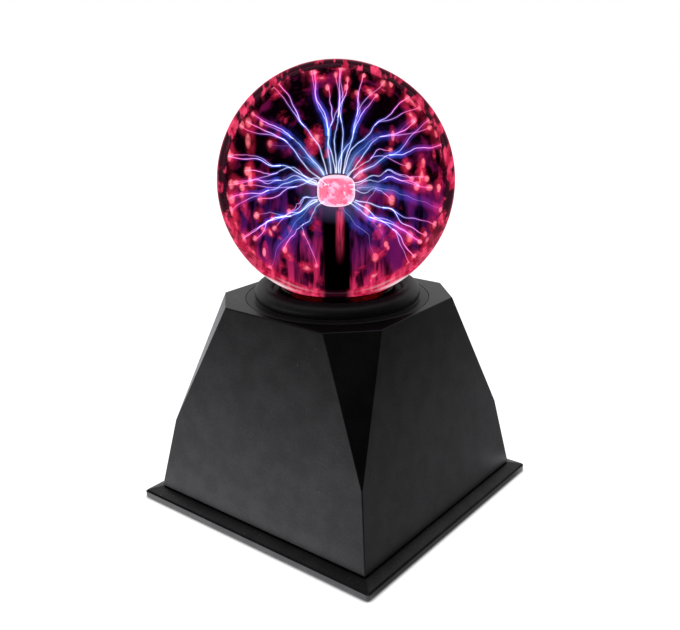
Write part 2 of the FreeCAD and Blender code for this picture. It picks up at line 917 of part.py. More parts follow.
def rod_along_x(radius, start, end, y, z):
    """A rod lying along X."""
    item = doc.addObject("Part::Cylinder", "rod")
    bind(item, Radius=radius, Height=f"({end}) - ({start})")
    item.Placement = Placement(Vector(), Rotation(Vector(0, 1, 0), 90))
    return move(item, start, y, z)


def heatsink():
    top = f"{BOARD_TOP} + sink_height"
    plate = block("sink_plate", "sink_width", BOARD_TOP, top, x="sink_x + sink_plate / 2")
    fin_x = "sink_x + sink_plate + fin_length / 2"
    fins = [
        block("fin_length + fin_root", "fin_thickness", BOARD_TOP, top, x=fin_x, y=f"{step} * fin_pitch")
        for step in FIN_STEPS
    ]
    hole = rod_along_x(
        "tab_screw_hole",
        f"sink_x - {OVERCUT}",
        f"sink_x + sink_plate + {OVERCUT}",
        0,
        f"{BOARD_TOP} + tab_screw_lift",
    )
    return piece("heatsink", cut(fuse(plate, *fins), hole))


def power_transistor():
    hole_level = f"{BOARD_TOP} + tab_screw_lift"
    pad_low = f"{BOARD_TOP} + tab_lift - (pad_height - tab_height) / 2"
    pad = block(
        "pad_thickness", "pad_width", pad_low, f"{pad_low} + pad_height", x="sink_x - pad_thickness / 2"
    )
    face = "(sink_x - pad_thickness)"
    before_case = f"{face} - tab_thickness - case_thickness - {OVERCUT}"
    clear = rod_along_x("tab_screw_hole", before_case, f"sink_x + {OVERCUT}", 0, hole_level)
    piece("thermal_pad", cut(pad, clear))

    low = f"({BOARD_TOP} + tab_lift)"
    tab = block(
        "tab_thickness", "tab_width", low, f"{low} + tab_height", x=f"{face} - tab_thickness / 2"
    )
    case_x = f"{face} - tab_thickness - case_thickness / 2"
    case = block("case_thickness", "tab_width", low, f"{low} + case_height", x=case_x)
    legs = [
        block(
            "leg_thickness",
            "leg_width",
            BOARD_TOP,
            f"{low} + leg_inset",
            x=case_x,
            y=f"{step} * leg_pitch",
        )
        for step in (-1, 0, 1)
    ]
    piece("power_transistor", cut(fuse(tab, case, *legs), clear))

    tab_face = f"({face} - tab_thickness)"
    head = rod_along_x("tab_screw_head", f"{tab_face} - small_head_height", tab_face, 0, hole_level)
    shank = rod_along_x("tab_screw_radius", tab_face, f"{tab_face} + tab_screw_length", 0, hole_level)
    piece("transistor_screw", fuse(head, shank))


def small_parts():
    cans = []
    for x, y, radius, height in CANS:
        low = f"{BOARD_TOP} + can_lift"
        can = rod(radius, low, f"{low} + {height}", x, y)
        crimp = doc.addObject("Part::Torus", "crimp")
        bind(crimp, Radius1=f"{radius} + can_crimp_out", Radius2="can_crimp")
        cans.append(cut(can, move(crimp, x, y, f"{low} + can_crimp_level")))
    piece("electrolytic_capacitors", group(*cans))

    film_top = f"{BOARD_TOP} + film_height"
    films = [
        block("film_length", "film_width", BOARD_TOP, film_top, f"{side} * film_x", "film_y")
        for side in (-1, 1)
    ]
    board_top = dims.board_level + dims.board_thickness
    films = [
        rounded(film, dims.film_round, lambda edge: edge.BoundBox.ZMax > board_top + OVERCUT)
        for film in films
    ]
    piece("film_capacitors", group(*films))

    resistors = []
    level = f"{BOARD_TOP} + resistor_lift"
    for step in range(RESISTOR_COUNT):
        y = f"resistor_y - {step} * resistor_pitch"
        half = "resistor_length / 2"
        span = "(resistor_span / 2)"
        body = rod_along_x("resistor_radius", f"resistor_x - {half}", f"resistor_x + {half}", y, level)
        wire = rod_along_x("wire_leg_radius", f"resistor_x - {span}", f"resistor_x + {span}", y, level)
        legs = [
            rod("wire_leg_radius", BOARD_TOP, level, f"resistor_x + {side} * {span}", y)
            for side in (-1, 1)
        ]
        resistors.append(fuse(body, wire, *legs))
    piece("resistors", group(*resistors))

    low = f"({BOARD_TOP} + chip_lift)"
    case = block("chip_length", "chip_width", low, f"{low} + chip_height", "chip_x", "chip_y")
    pins = [
        block(
            "chip_pin_width",
            "2 * chip_pin_reach",
            BOARD_TOP,
            f"{low} + chip_height / 2",
            f"chip_x + {step} * leg_pitch",
            "chip_y",
        )
        for step in CHIP_PIN_STEPS
    ]
    piece("sound_chip", fuse(case, *pins))


def preset():
    """Sensitivity preset: a small case with a slotted disc that turns in it."""
    place = ("preset_x", "preset_y")
    top = f"({BOARD_TOP} + preset_height)"
    recess = f"({top} - preset_recess_depth)"
    case = block("preset_side", "preset_side", BOARD_TOP, top, *place)
    open_recess = rod("preset_recess_radius", recess, f"{top} + {OVERCUT}", *place)
    hole_low = f"{recess} - preset_spindle_length - preset_spindle_gap"
    hole = rod("preset_hole_radius", hole_low, top, *place)
    piece("preset_body", cut(case, open_recess, hole))

    disc_low = f"({recess} + preset_disc_gap)"
    disc_high = f"({disc_low} + preset_disc_height)"
    disc = rod("preset_disc_radius", disc_low, disc_high, *place)
    spindle = rod("preset_spindle_radius", f"{disc_low} - preset_spindle_length", disc_low, *place)
    slot = block(
        "preset_slot_length",
        "preset_slot_width",
        f"{disc_high} - preset_slot_depth",
        f"{disc_high} + {OVERCUT}",
        *place,
    )
    piece("preset_rotor", cut(fuse(disc, spindle), slot))


# Parts on the rear wall


def power_jack():
    barrel = rod("jack_radius", "-jack_length", 0)
    flange = rod("jack_flange_radius", 0, "jack_flange")
    mouth = rod("jack_bore_radius", "-jack_bore_depth", f"jack_flange + {OVERCUT}")
    pin_hole = rod("jack_pin_root_hole", f"-jack_length - {OVERCUT}", 0)
    piece("jack_body", on_rear_wall(cut(fuse(barrel, flange), mouth, pin_hole), "jack_x"))

    # The pin stands in the bore; its thinner root goes through the body's back wall.
    pin = rod("jack_pin_radius", "-jack_bore_depth", "-jack_pin_recess")
    root = rod("jack_pin_root_radius", "-jack_length", "-jack_bore_depth")
    piece("jack_pin", on_rear_wall(fuse(pin, root), "jack_x"))

    prism = bind(
        doc.addObject("Part::Prism", "hexagon"), Circumradius="jack_nut_radius", Height="jack_nut_height"
    )
    prism.Polygon = 6
    move(prism, z="-wall_inside - jack_nut_height")
    bore = rod("jack_nut_bore", f"-wall_inside - jack_nut_height - {OVERCUT}", 0)
    piece("jack_nut", on_rear_wall(cut(prism, bore), "jack_x"))

    tabs = []
    for side in (-1, 1):
        tab = block(
            "terminal_width",
            "terminal_thickness",
            "-jack_length - terminal_length",
            "-jack_length",
            x=f"{side} * terminal_offset",
        )
        tabs.append(tab)
    piece("jack_terminals", on_rear_wall(group(*tabs), "jack_x"))


PLATE_BACK = "(-wall_inside - switch_plate_thickness)"
SWITCH_BACK = f"({PLATE_BACK} - switch_body_gap)"
TRACK_FLOOR = f"({SWITCH_BACK} - switch_track_depth)"


def mode_switch():
    plate = block("switch_plate_length", "switch_plate_height", PLATE_BACK, "-wall_inside")
    window = block("switch_window", "switch_window_height", "-through_wall", 0)
    ears = [
        rod("peg_pilot_radius", "-through_wall", 0, x=f"{side} * switch_ear") for side in (-1, 1)
    ]
    piece("switch_frame", on_rear_wall(cut(plate, window, *ears), "switch_x"))

    back = f"({SWITCH_BACK} - switch_body_depth)"
    case = block("switch_body_length", "switch_body_height", back, SWITCH_BACK)
    track_high = f"{SWITCH_BACK} + {OVERCUT}"
    track = block("switch_track_length", "switch_track_height", TRACK_FLOOR, track_high)
    pin_low = f"{back} - switch_pin_length"
    pins = [
        rod("switch_pin_radius", pin_low, f"{back} + {OVERCUT}", x=f"{step} * switch_pin_pitch")
        for step in (-1, 0, 1)
    ]
    piece("switch_body", on_rear_wall(fuse(cut(case, track), *pins), "switch_x"))

    # The slider rests at the -X end of its track, where the lamp is on.
    rest = "-switch_travel / 2"
    carriage_low = f"({TRACK_FLOOR} + carriage_gap)"
    carriage_high = f"({carriage_low} + carriage_thickness)"
    carriage = block("carriage_length", "carriage_height", carriage_low, carriage_high, x=rest)
    knob = block("knob_length", "knob_height", carriage_high, "knob_reach", x=rest)
    groove_low = "knob_reach - knob_groove"
    groove_high = f"knob_reach + {OVERCUT}"
    across = f"knob_height + {OVERCUT}"
    grooves = [
        block("knob_groove", across, groove_low, groove_high, x=f"{rest} + {step} * knob_groove_pitch")
        for step in (-1, 0, 1)
    ]
    piece("switch_slider", on_rear_wall(cut(fuse(carriage, knob), *grooves), "switch_x"))

    screws = []
    slot_low = "switch_screw_head_height / 2"
    slot_high = f"switch_screw_head_height + {OVERCUT}"
    for side in (-1, 1):
        x = f"{side} * switch_ear"
        head = rod("switch_screw_head", 0, "switch_screw_head_height", x)
        shank = rod("small_screw_radius", "-switch_screw_length", 0, x)
        slot = block("switch_slot_length", "switch_slot_width", slot_low, slot_high, x)
        screws.append(cut(fuse(head, shank), slot))
    piece("switch_screws", on_rear_wall(group(*screws), "switch_x"))


def microphone():
    sleeve = tube("grommet_radius", "grommet_bore", "-grommet_depth", "-wall_inside - grommet_gap")
    piece("microphone_grommet", on_rear_wall(sleeve, "microphone_x"))
    capsule = rod("capsule_radius", "-capsule_depth", "-capsule_inset")
    port = rod("port_radius", "-capsule_inset - capsule_port_depth", f"-capsule_inset + {OVERCUT}")
    piece("microphone_capsule", on_rear_wall(cut(capsule, port), "microphone_x"))


# Leads: round insulated wire along a smooth curve


def wire(points, start_way, end_way, radius, straight_to=None):
    """Round wire through points; the first and last directions are given."""
    curve = Part.BSplineCurve()
    curve.interpolate(Points=points, InitialTangent=start_way, FinalTangent=end_way)
    edges = [curve.toShape()]
    if straight_to is not None:
        edges.append(Part.makeLine(points[-1], straight_to))
    path = Part.Wire(edges)
    ring = Part.Wire(Part.makeCircle(radius, points[0], start_way))
    return path.makePipeShell([ring], True, False)


def lead_piece(label, solids):
    item = doc.addObject("Part::Feature", label)
    item.Shape = solids[0] if len(solids) == 1 else Part.makeCompound(solids)
    item.Placement = Placement()
    return piece(label, item)


def wire_to_board(start, board_x, board_y):
    """Wire from a terminal on the rear wall, curving forward and down to the board's surface."""
    inward = REAR_TURN.multVec(Vector(0, 0, -1))
    board_top = dims.board_level + dims.board_thickness
    end = Vector(board_x, board_y, board_top + dims.lead_gap)
    middle_y = board_y + dims.lead_middle_out
    middle = Vector((start.x + board_x) / 2, middle_y, board_top + dims.lead_middle_rise)
    start_way = inward * dims.lead_pull
    end_way = Vector(0, 0, -dims.lead_pull)
    return wire([start, middle, end], start_way, end_way, dims.lead_radius)


def leads():
    rows_y = dims.board_width / 2 - dims.lead_row_inset
    terminal_end = -(dims.jack_length + dims.terminal_length + dims.lead_gap)
    power = []
    for side in (-1, 1):
        start = rear_point(dims.jack_x, terminal_end, across=side * dims.terminal_offset)
        board_x = dims.jack_x - dims.power_lead_aside + side * dims.power_lead_spread
        power.append(wire_to_board(start, board_x, rows_y))
    lead_piece("power_leads", power)

    switch_depth = dims.switch_plate_thickness + dims.switch_body_gap + dims.switch_body_depth
    switch_end = -(dims.wall_inside + switch_depth + dims.switch_pin_length + dims.lead_gap)
    switch = []
    for step in (-1, 0, 1):
        across = step * dims.switch_pin_pitch
        start = rear_point(dims.switch_x, switch_end, across=across)
        switch.append(wire_to_board(start, dims.switch_x + across, rows_y))
    lead_piece("switch_leads", switch)

    capsule_end = -(dims.capsule_depth + dims.lead_gap)
    microphone_pair = []
    for side in (-1, 1):
        start = rear_point(dims.microphone_x, capsule_end, across=side * dims.microphone_lead_start)
        board_x = dims.microphone_x + dims.microphone_lead_aside + side * dims.microphone_lead_spread
        microphone_pair.append(wire_to_board(start, board_x, rows_y))
    lead_piece("microphone_leads", microphone_pair)

    winding_y = -dims.high_voltage_lead_side
    start = Vector(dims.core_x, winding_y, dims.high_voltage_lead_start)
    bend = Vector(dims.core_x, winding_y, dims.high_voltage_lead_bend)
    on_axis = Vector(0, 0, dims.lead_straight_from)
    core_underside = dims.bulb_bottom + dims.bulb_wall + dims.core_gap
    top = Vector(0, 0, core_underside - dims.lead_gap)
    up = Vector(0, 0, dims.high_voltage_lead_pull)
    solid = wire([start, bend, on_axis], up, up, dims.high_voltage_lead_radius, straight_to=top)
    lead_piece("high_voltage_lead", [solid])


base_plate()
rubber_feet()
base_screws()
body_shell()
collar_ring()
globe_gasket()
silicone_bond()
neck_boot()
neck_holder()
holder_screws()
glass_globe()
electrode_stem()
electrode_core()
stem_liner()
circuit_board()
board_screws()
transformer()
heatsink()
power_transistor()
small_parts()
preset()
power_jack()
mode_switch()
microphone()
leads()

doc.recompute()
failed = [item.Name for item in doc.Objects if {"Invalid", "Error"} & set(item.State)]
failed += [item.Label for item in pieces if item.Shape.isNull() or not item.Shape.isValid()]
if failed:
    raise RuntimeError("these did not build: " + ", ".join(failed))

os.makedirs("parts", exist_ok=True)
for item in pieces:
    item.Shape.exportStep(f"parts/{item.Label}.step")
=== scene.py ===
"""Looks of the plasma ball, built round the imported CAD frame.

The casing, the fasteners and the insides are the CAD's own nodes with weld and bevel modifiers. The
turned parts that a close look reaches (collar ring, gasket, glass, stem, electrode) are lathed again
here at a finer step, and the gas discharge, which is no solid, is added inside the globe.
Positions and radii come from the frame's boxes. Lengths are metres; MM turns millimetres into them.
"""

import json
import math
import random

import bmesh
import bpy
from mathutils import Matrix, Vector


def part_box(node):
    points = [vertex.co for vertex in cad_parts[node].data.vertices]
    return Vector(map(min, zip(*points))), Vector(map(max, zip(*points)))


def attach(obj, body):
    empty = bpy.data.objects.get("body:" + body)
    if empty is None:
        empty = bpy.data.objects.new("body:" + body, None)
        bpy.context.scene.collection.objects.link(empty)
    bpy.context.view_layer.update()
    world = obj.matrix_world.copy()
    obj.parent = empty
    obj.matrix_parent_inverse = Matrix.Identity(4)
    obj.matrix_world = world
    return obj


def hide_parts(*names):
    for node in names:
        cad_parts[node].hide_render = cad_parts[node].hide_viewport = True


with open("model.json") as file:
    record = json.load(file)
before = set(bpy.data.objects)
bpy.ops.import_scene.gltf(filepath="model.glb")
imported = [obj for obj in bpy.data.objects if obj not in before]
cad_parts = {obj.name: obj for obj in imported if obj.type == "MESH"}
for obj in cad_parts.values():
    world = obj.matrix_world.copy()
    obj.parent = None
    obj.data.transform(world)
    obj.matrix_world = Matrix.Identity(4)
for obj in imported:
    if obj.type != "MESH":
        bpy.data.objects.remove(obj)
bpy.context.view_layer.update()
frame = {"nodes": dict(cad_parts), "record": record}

MM = 0.001
BODY = "lamp"
SEED = 11
MIRRORED_GLOW = 0.16
CAMERA_AZIMUTH = 38.23
CAMERA_ELEVATION = 18.515
CAMERA_DISTANCE = 378.5 * MM
CAMERA_ROLL = -0.596
CAMERA_AIM_RIGHT = 1.09 * MM
CAMERA_AIM_HEIGHT = 84.35 * MM
LENS = 44.99
SENSOR = 36


# Places, read from the frame

glass_low, glass_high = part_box("glass_globe")
GLOBE_RADIUS = (glass_high.x - glass_low.x) / 2
GLOBE = Vector((0, 0, glass_high.z - GLOBE_RADIUS))
GLASS_WALL = 1.6 * MM
CAVITY_RADIUS = GLOBE_RADIUS - GLASS_WALL

core_low, core_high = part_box("electrode_core")
gasket_low, gasket_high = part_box("globe_gasket")
liner_low, liner_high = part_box("stem_liner")
RING_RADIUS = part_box("collar_ring")[1].x
RING_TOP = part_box("collar_ring")[1].z
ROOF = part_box("body_shell")[1].z
PLATE_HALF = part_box("base_plate")[1].x
PLATE_RIM_TOP = 3.6 * MM

BULB_GAP = 0.9 * MM
BULB_RADIUS = core_high.x + BULB_GAP
BULB_LOW = core_low.z - BULB_GAP
BULB_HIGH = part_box("electrode_stem")[1].z
ELECTRODE = Vector((0, 0, (BULB_LOW + BULB_HIGH) / 2))
BARREL_POWER = 3.2
STEM_RADIUS = 5.5 * MM
CORONA_RADIUS = 17 * MM


# Colours, directions and node trees


def colour(red, green, blue):
    """A display colour, 0 to 255, as the linear colour that the shaders want."""
    def linear(value):
        share = value / 255
        return share / 12.92 if share <= 0.04045 else ((share + 0.055) / 1.055) ** 2.4

    return (linear(red), linear(green), linear(blue), 1.0)


def direction(azimuth, elevation):
    """Unit vector; azimuth 0 is the lamp's front and 90 its right, in degrees."""
    turn = math.radians(azimuth)
    tilt = math.radians(elevation)
    return Vector((math.sin(turn) * math.cos(tilt), -math.cos(turn) * math.cos(tilt), math.sin(tilt)))


def times(shade, factor):
    """A shade made lighter or darker."""
    return [factor * part for part in shade[:3]] + [1]


class Tree:
    """Short calls for building one node tree."""

    def __init__(self, tree):
        self.tree = tree
        tree.nodes.clear()

    def add(self, kind, inputs=None, **settings):
        node = self.tree.nodes.new("ShaderNode" + kind)
        for name, value in settings.items():
            setattr(node, name, value)
        for name, value in (inputs or {}).items():
            self.feed(node.inputs[name], value)
        return node

    def feed(self, socket, value):
        if isinstance(value, bpy.types.NodeSocket):
            self.tree.links.new(value, socket)
        else:
            socket.default_value = value

    def math(self, operation, *values):
        node = self.add("Math", operation=operation)
        for socket, value in zip(node.inputs, values):
            self.feed(socket, value)
        return node.outputs[0]

    def between(self, value, low, high, to_low=0.0, to_high=1.0):
        """Smooth step of value from low..high to to_low..to_high."""
        inputs = {"Value": value, "From Min": low, "From Max": high}
        inputs.update({"To Min": to_low, "To Max": to_high})
        return self.add("MapRange", inputs, interpolation_type="SMOOTHSTEP").outputs[0]

    def mix(self, factor, first, second):
        node = self.add("Mix", data_type="RGBA")
        self.feed(node.inputs[0], factor)
        self.feed(node.inputs[6], first)
        self.feed(node.inputs[7], second)
        return node.outputs[2]

    def ramp(self, value, *stops):
        node = self.add("ValToRGB", {"Fac": value})
        elements = node.color_ramp.elements
        while len(elements) < len(stops):
            elements.new(0.5)
        for element, (position, shade) in zip(elements, stops):
            element.position = position
            element.color = shade
        return node.outputs["Color"]

    def axis(self, vector, name):
        return self.add("SeparateXYZ", {"Vector": vector}).outputs[name]

    def place(self):
        return self.add("TexCoord").outputs["Object"]

    def height(self):
        return self.axis(self.place(), "Z")

    def upward(self):
        return self.axis(self.add("NewGeometry").outputs["Normal"], "Z")

    def outside(self):
        """1 where the eye meets the skin from outside, 0 on the skin's far side."""
        return self.math("SUBTRACT", 1.0, self.add("NewGeometry").outputs["Backfacing"])

    def seen(self):
        """1 to the eye itself, 0 in mirrored or scattered light."""
        return self.add("LightPath").outputs["Is Camera Ray"]

    def millimetres(self, stretch=(1, 1, 1)):
        """Place in the frame, in millimetres, squeezed along each axis by stretch."""
        scale = [1 / (MM * share) for share in stretch]
        return self.add("Mapping", {"Vector": self.place(), "Scale": scale}).outputs[0]

    def noise(self, size, detail=2.0, stretch=(1, 1, 1)):
        """Noise whose lumps are about size millimetres across."""
        inputs = {"Vector": self.millimetres(stretch), "Scale": 1 / size, "Detail": detail}
        return self.add("TexNoise", inputs).outputs[0]

    def spots(self, size, stretch=(1, 1, 1)):
        """Distance to the nearest of scattered points, 0 at a point; size is their spacing."""
        inputs = {"Vector": self.millimetres(stretch), "Scale": 1 / size}
        return self.add("TexVoronoi", inputs).outputs["Distance"]

    def own_light(self, strength):
        """Strength of a glow: full to the eye, weak to the parts that mirror it."""
        return self.product(strength, self.between(self.seen(), 0.0, 1.0, MIRRORED_GLOW, 1.0))

    def bump(self, value, depth):
        """A normal that leans as if value stood depth millimetres high."""
        inputs = {"Height": value, "Distance": depth * MM, "Strength": 1.0}
        return self.add("Bump", inputs).outputs[0]

    def product(self, first, *others):
        for other in others:
            first = self.math("MULTIPLY", first, other)
        return first

    def opaque(self, shade, rough, normal, more=None):
        """An opaque surface; more holds other inputs of the Principled node."""
        inputs = {"Base Color": shade, "Roughness": rough, "Normal": normal}
        inputs.update(more or {})
        return self.add("BsdfPrincipled", inputs).outputs[0]

    def clear(self, shade=(1, 1, 1, 1)):
        return self.add("BsdfTransparent", {"Color": shade}).outputs[0]

    def light(self, shade, strength):
        return self.add("Emission", {"Color": shade, "Strength": strength}).outputs[0]

    def both(self, first, second):
        return self.add("AddShader", {0: first, 1: second}).outputs[0]

    def blend(self, share, first, second):
        """The first surface where share is 0, the second where it is 1."""
        return self.add("MixShader", {0: share, 1: first, 2: second}).outputs[0]

    def output(self, surface):
        out = self.add("OutputMaterial")
        self.feed(out.inputs["Surface"], surface)


def material(name):
    made = bpy.data.materials.new(name)
    made.use_nodes = True
    return made, Tree(made.node_tree)


def light_material(name):
    """A material that glows, and lights other parts only where their rays happen to meet it."""
    made, tree = material(name)
    made.cycles.emission_sampling = "NONE"
    return made, tree


# Finishes of solid parts


def dusted(tree, base, amount):
    """Lay a thin film and specks of dust on ledges, and a few specks on the walls."""
    ledge = tree.between(tree.upward(), 0.6, 0.95)
    film = tree.between(tree.noise(1.2, detail=3), 0.40, 0.70, 0.001, 0.006)
    base = tree.mix(tree.product(film, ledge), base, colour(255, 252, 246))
    speck = tree.between(tree.spots(2.6), 0.11, 0.05)
    patch = tree.between(tree.noise(9, detail=2), 0.48, 0.60)
    lying = tree.product(speck, ledge, patch)
    clinging = tree.between(tree.spots(7.5), 0.034, 0.016)
    dust = tree.math("MAXIMUM", lying, tree.product(clinging, 0.7))
    return tree.mix(tree.product(dust, amount), base, colour(170, 168, 164))


def painted_corner_shade(tree, gloss):
    """Painted shade: take the shine out of inner corners, where shade falls on their reflections; the
    plate's rim, close to the table, keeps its own.
    """
    open_share = tree.add("AmbientOcclusion", {"Distance": 7 * MM}, samples=6).outputs["AO"]
    open_share = tree.between(open_share, 0.5, 0.92, 0.1, 1.0)
    on_rim = tree.between(tree.height(), PLATE_RIM_TOP + 0.2 * MM, PLATE_RIM_TOP)
    return tree.product(gloss, tree.math("MAXIMUM", open_share, on_rim))


def moulded_plastic(name, shade, rough, grain=0.3, grain_depth=0.012, dust_and_corner_shade=0.0):
    """Moulded plastic: spark-eroded grain, slow changes of gloss and, for dusty finishes, dust and
    painted shade that dims the gloss in inner corners.
    """
    made, tree = material(name)
    fine = tree.noise(grain, detail=3)
    slow = tree.noise(18, detail=3)
    roughness = tree.math("MULTIPLY_ADD", slow, 0.10, rough - 0.05)
    base = tree.mix(tree.product(slow, 0.5), shade, times(shade, 1.6))
    gloss = tree.math("MULTIPLY_ADD", tree.noise(0.6, detail=2), 0.34, 0.31)
    gloss = tree.product(gloss, tree.between(tree.noise(9, detail=3), 0.3, 0.7, 0.88, 1.14))
    if dust_and_corner_shade:
        # Painted shade in inner corners, then real dust on ledges and walls.
        gloss = painted_corner_shade(tree, gloss)
        base = dusted(tree, base, dust_and_corner_shade)
    more = {"IOR": 1.5, "Specular IOR Level": gloss}
    tree.output(tree.opaque(base, roughness, tree.bump(fine, grain_depth), more))
    return made


def rubber(name, shade, rough=0.75):
    """Soft matt rubber with a fine, uneven surface."""
    made, tree = material(name)
    fine = tree.noise(0.5, detail=4)
    base = tree.mix(tree.noise(6), shade, times(shade, 1.8))
    tree.output(tree.opaque(base, rough, tree.bump(fine, 0.03)))
    return made


def metal(name, shade, rough=0.3, brush=(1, 1, 12)):
    """Metal with fine lines along one axis: brush squeezes the noise so that it runs into lines."""
    made, tree = material(name)
    lines = tree.noise(0.6, detail=3, stretch=brush)
    stain = tree.noise(7, detail=3)
    roughness = tree.math("MULTIPLY_ADD", lines, 0.25, rough - 0.1)
    base = tree.mix(tree.product(stain, 0.4), shade, times(shade, 0.6))
    tree.output(tree.opaque(base, roughness, tree.bump(lines, 0.01), {"Metallic": 1.0}))
    return made


def wound(name, first, second, pitch, metallic=0.0, rough=0.3):
    """Close turns of wire or tape: bands that repeat along Z every pitch millimetres, each turn
    painted darker at its seams and lighter at its crown as shade on the round turn.
    """
    made, tree = material(name)
    turn = tree.math("FRACT", tree.math("DIVIDE", tree.height(), pitch * MM))
    round_turn = tree.math("SINE", tree.product(turn, math.pi))
    # Painted shade: each turn darker at its seams and lighter at its crown, made uneven by noise.
    base = tree.mix(tree.product(round_turn, tree.noise(3)), first, second)
    normal = tree.bump(round_turn, pitch / 3)
    tree.output(tree.opaque(base, rough, normal, {"Metallic": metallic}))
    return made


def printed_board(name):
    """Green solder mask with a faint net of copper tracks and pale pads."""
    made, tree = material(name)
    inputs = {"Vector": tree.millimetres(), "Scale": 0.28}
    cells = tree.add("TexVoronoi", inputs, distance="MANHATTAN", feature="F1")
    rings = tree.math("FRACT", tree.product(cells.outputs["Distance"], 4))
    track = tree.between(rings, 0.35, 0.5)
    pad = tree.between(tree.spots(4.2), 0.16, 0.12)
    base = tree.mix(track, colour(14, 66, 30), colour(30, 104, 48))
    base = tree.mix(pad, base, colour(196, 190, 170))
    tree.output(tree.opaque(base, 0.32, tree.bump(track, 0.03)))
    return made


def banded(name, body, bands, pitch):
    """Resistors: lacquer with bands of colour across X."""
    made, tree = material(name)
    step = tree.math("FRACT", tree.math("DIVIDE", tree.axis(tree.place(), "X"), pitch * MM))
    stops = [(0.0, body)]
    for number, band in enumerate(bands):
        stops += [(0.15 + 0.2 * number, band), (0.25 + 0.2 * number, body)]
    tree.output(tree.opaque(tree.ramp(step, *stops), 0.3, tree.bump(tree.noise(1), 0.02)))
    return made


# Finishes of glass and light


def facing(tree):
    """1 where the surface faces the eye, 0 at its outline."""
    away = tree.add("LayerWeight", {"Blend": 0.5}).outputs["Facing"]
    return tree.math("SUBTRACT", 1.0, away)


def seen_aside(tree):
    """How far right of the globe's middle the eye sees a point, in metres."""
    here = tree.add("TexCoord").outputs["Camera"]
    spaces = {"vector_type": "POINT", "convert_from": "WORLD", "convert_to": "CAMERA"}
    middle = tree.add("VectorTransform", {"Vector": GLOBE}, **spaces).outputs[0]
    reach = tree.math("ABSOLUTE", tree.axis(middle, "Z"))
    slope = tree.math("DIVIDE", tree.axis(here, "X"), tree.math("ABSOLUTE", tree.axis(here, "Z")))
    middle_slope = tree.math("DIVIDE", tree.axis(middle, "X"), reach)
    return tree.product(tree.math("SUBTRACT", slope, middle_slope), reach)


def upright_streaks(tree, size, detail=3.0, length=9.0):
    """Noise in upright streaks, as light drawn out by the curved glass; size is their width in mm."""
    across = tree.math("DIVIDE", seen_aside(tree), size * MM)
    along = tree.math("DIVIDE", tree.height(), length * size * MM)
    where = tree.add("CombineXYZ", {"X": across, "Y": along})
    inputs = {"Vector": where.outputs[0], "Scale": 1.0, "Detail": detail, "Roughness": 0.55}
    return tree.add("TexNoise", inputs).outputs[0]


def stem_lane(tree):
    """1 in the upright lane where the eye sees the dark stem mirrored in the glass below it."""
    aside = tree.math("ABSOLUTE", seen_aside(tree))
    lane = tree.between(aside, 1.5 * STEM_RADIUS, 0.7 * STEM_RADIUS)
    return tree.product(lane, tree.between(tree.height(), ELECTRODE.z, BULB_LOW - 4 * MM))


def reflecting(tree, under, edge):
    """Lay the glass's reflection over what is under it, where the eye looks along the glass."""
    along = tree.between(facing(tree), 0.45, 0.0)
    reflect = tree.product(tree.math("POWER", along, 2.0), edge)
    roughness = tree.math("MULTIPLY_ADD", tree.noise(14, detail=4), 0.08, 0.02)
    gloss = tree.add("BsdfGlossy", {"Color": (1, 1, 1, 1), "Roughness": roughness})
    return tree.blend(reflect, under, gloss.outputs[0])


def gas_rise(tree):
    """Height in the globe, from -1 at the bottom to 1 at the top."""
    return tree.math("DIVIDE", tree.math("SUBTRACT", tree.height(), GLOBE.z), GLOBE_RADIUS)


def rim_light(tree):
    """Colour of the discharge where the eye looks along the glass: coral, patchy, fuller below."""
    patches = tree.between(upright_streaks(tree, 5.0, detail=2.0, length=1.5), 0.475, 0.565)
    low = tree.between(gas_rise(tree), -0.1, -0.75)
    amount = tree.math("MAXIMUM", patches, tree.product(low, 0.85))
    grain = tree.between(upright_streaks(tree, 2.6, length=2.0), 0.42, 0.62)
    bright = tree.mix(grain, colour(184, 20, 62), colour(252, 72, 116))
    shade = tree.mix(amount, colour(44, 4, 22), bright)
    return tree.mix(stem_lane(tree), shade, colour(24, 2, 12))


def globe_glass(name):
    """Blown glass; where the eye looks along the wall, the wall fills with the discharge's light.

    Low at the sides, just over the ring, the wall's edge is painted pale, as the white backdrop seen
    through the glass's edge.
    """
    made, tree = light_material(name)
    front = facing(tree)
    rise = gas_rise(tree)
    low = tree.between(rise, 0.45, -0.35)
    wall_from = tree.between(low, 0, 1, 0.30, 0.36)
    wall_to = tree.between(low, 0, 1, 0.262, 0.27)
    wall = tree.between(front, wall_from, wall_to)
    # Painted light: low at the sides the edge turns pale, standing in for the white backdrop seen
    # through the glass.
    beside_ring = tree.product(tree.between(rise, -0.68, -0.75), tree.between(rise, -0.86, -0.79))
    painted_backdrop_edge = tree.product(beside_ring, tree.between(front, 0.27, 0.12))
    outline = tree.product(tree.between(front, 0.16, 0.06), 0.65)
    fringe = tree.mix(beside_ring, colour(228, 76, 112), colour(246, 222, 228))
    fringe_share = tree.math("MAXIMUM", outline, painted_backdrop_edge)
    shade = tree.mix(fringe_share, rim_light(tree), fringe)
    lit = tree.light(shade, tree.own_light(1.0))
    clear = tree.clear((0.99, 0.97, 0.98, 1))
    tree.output(reflecting(tree, tree.blend(wall, clear, lit), 0.05))
    return made


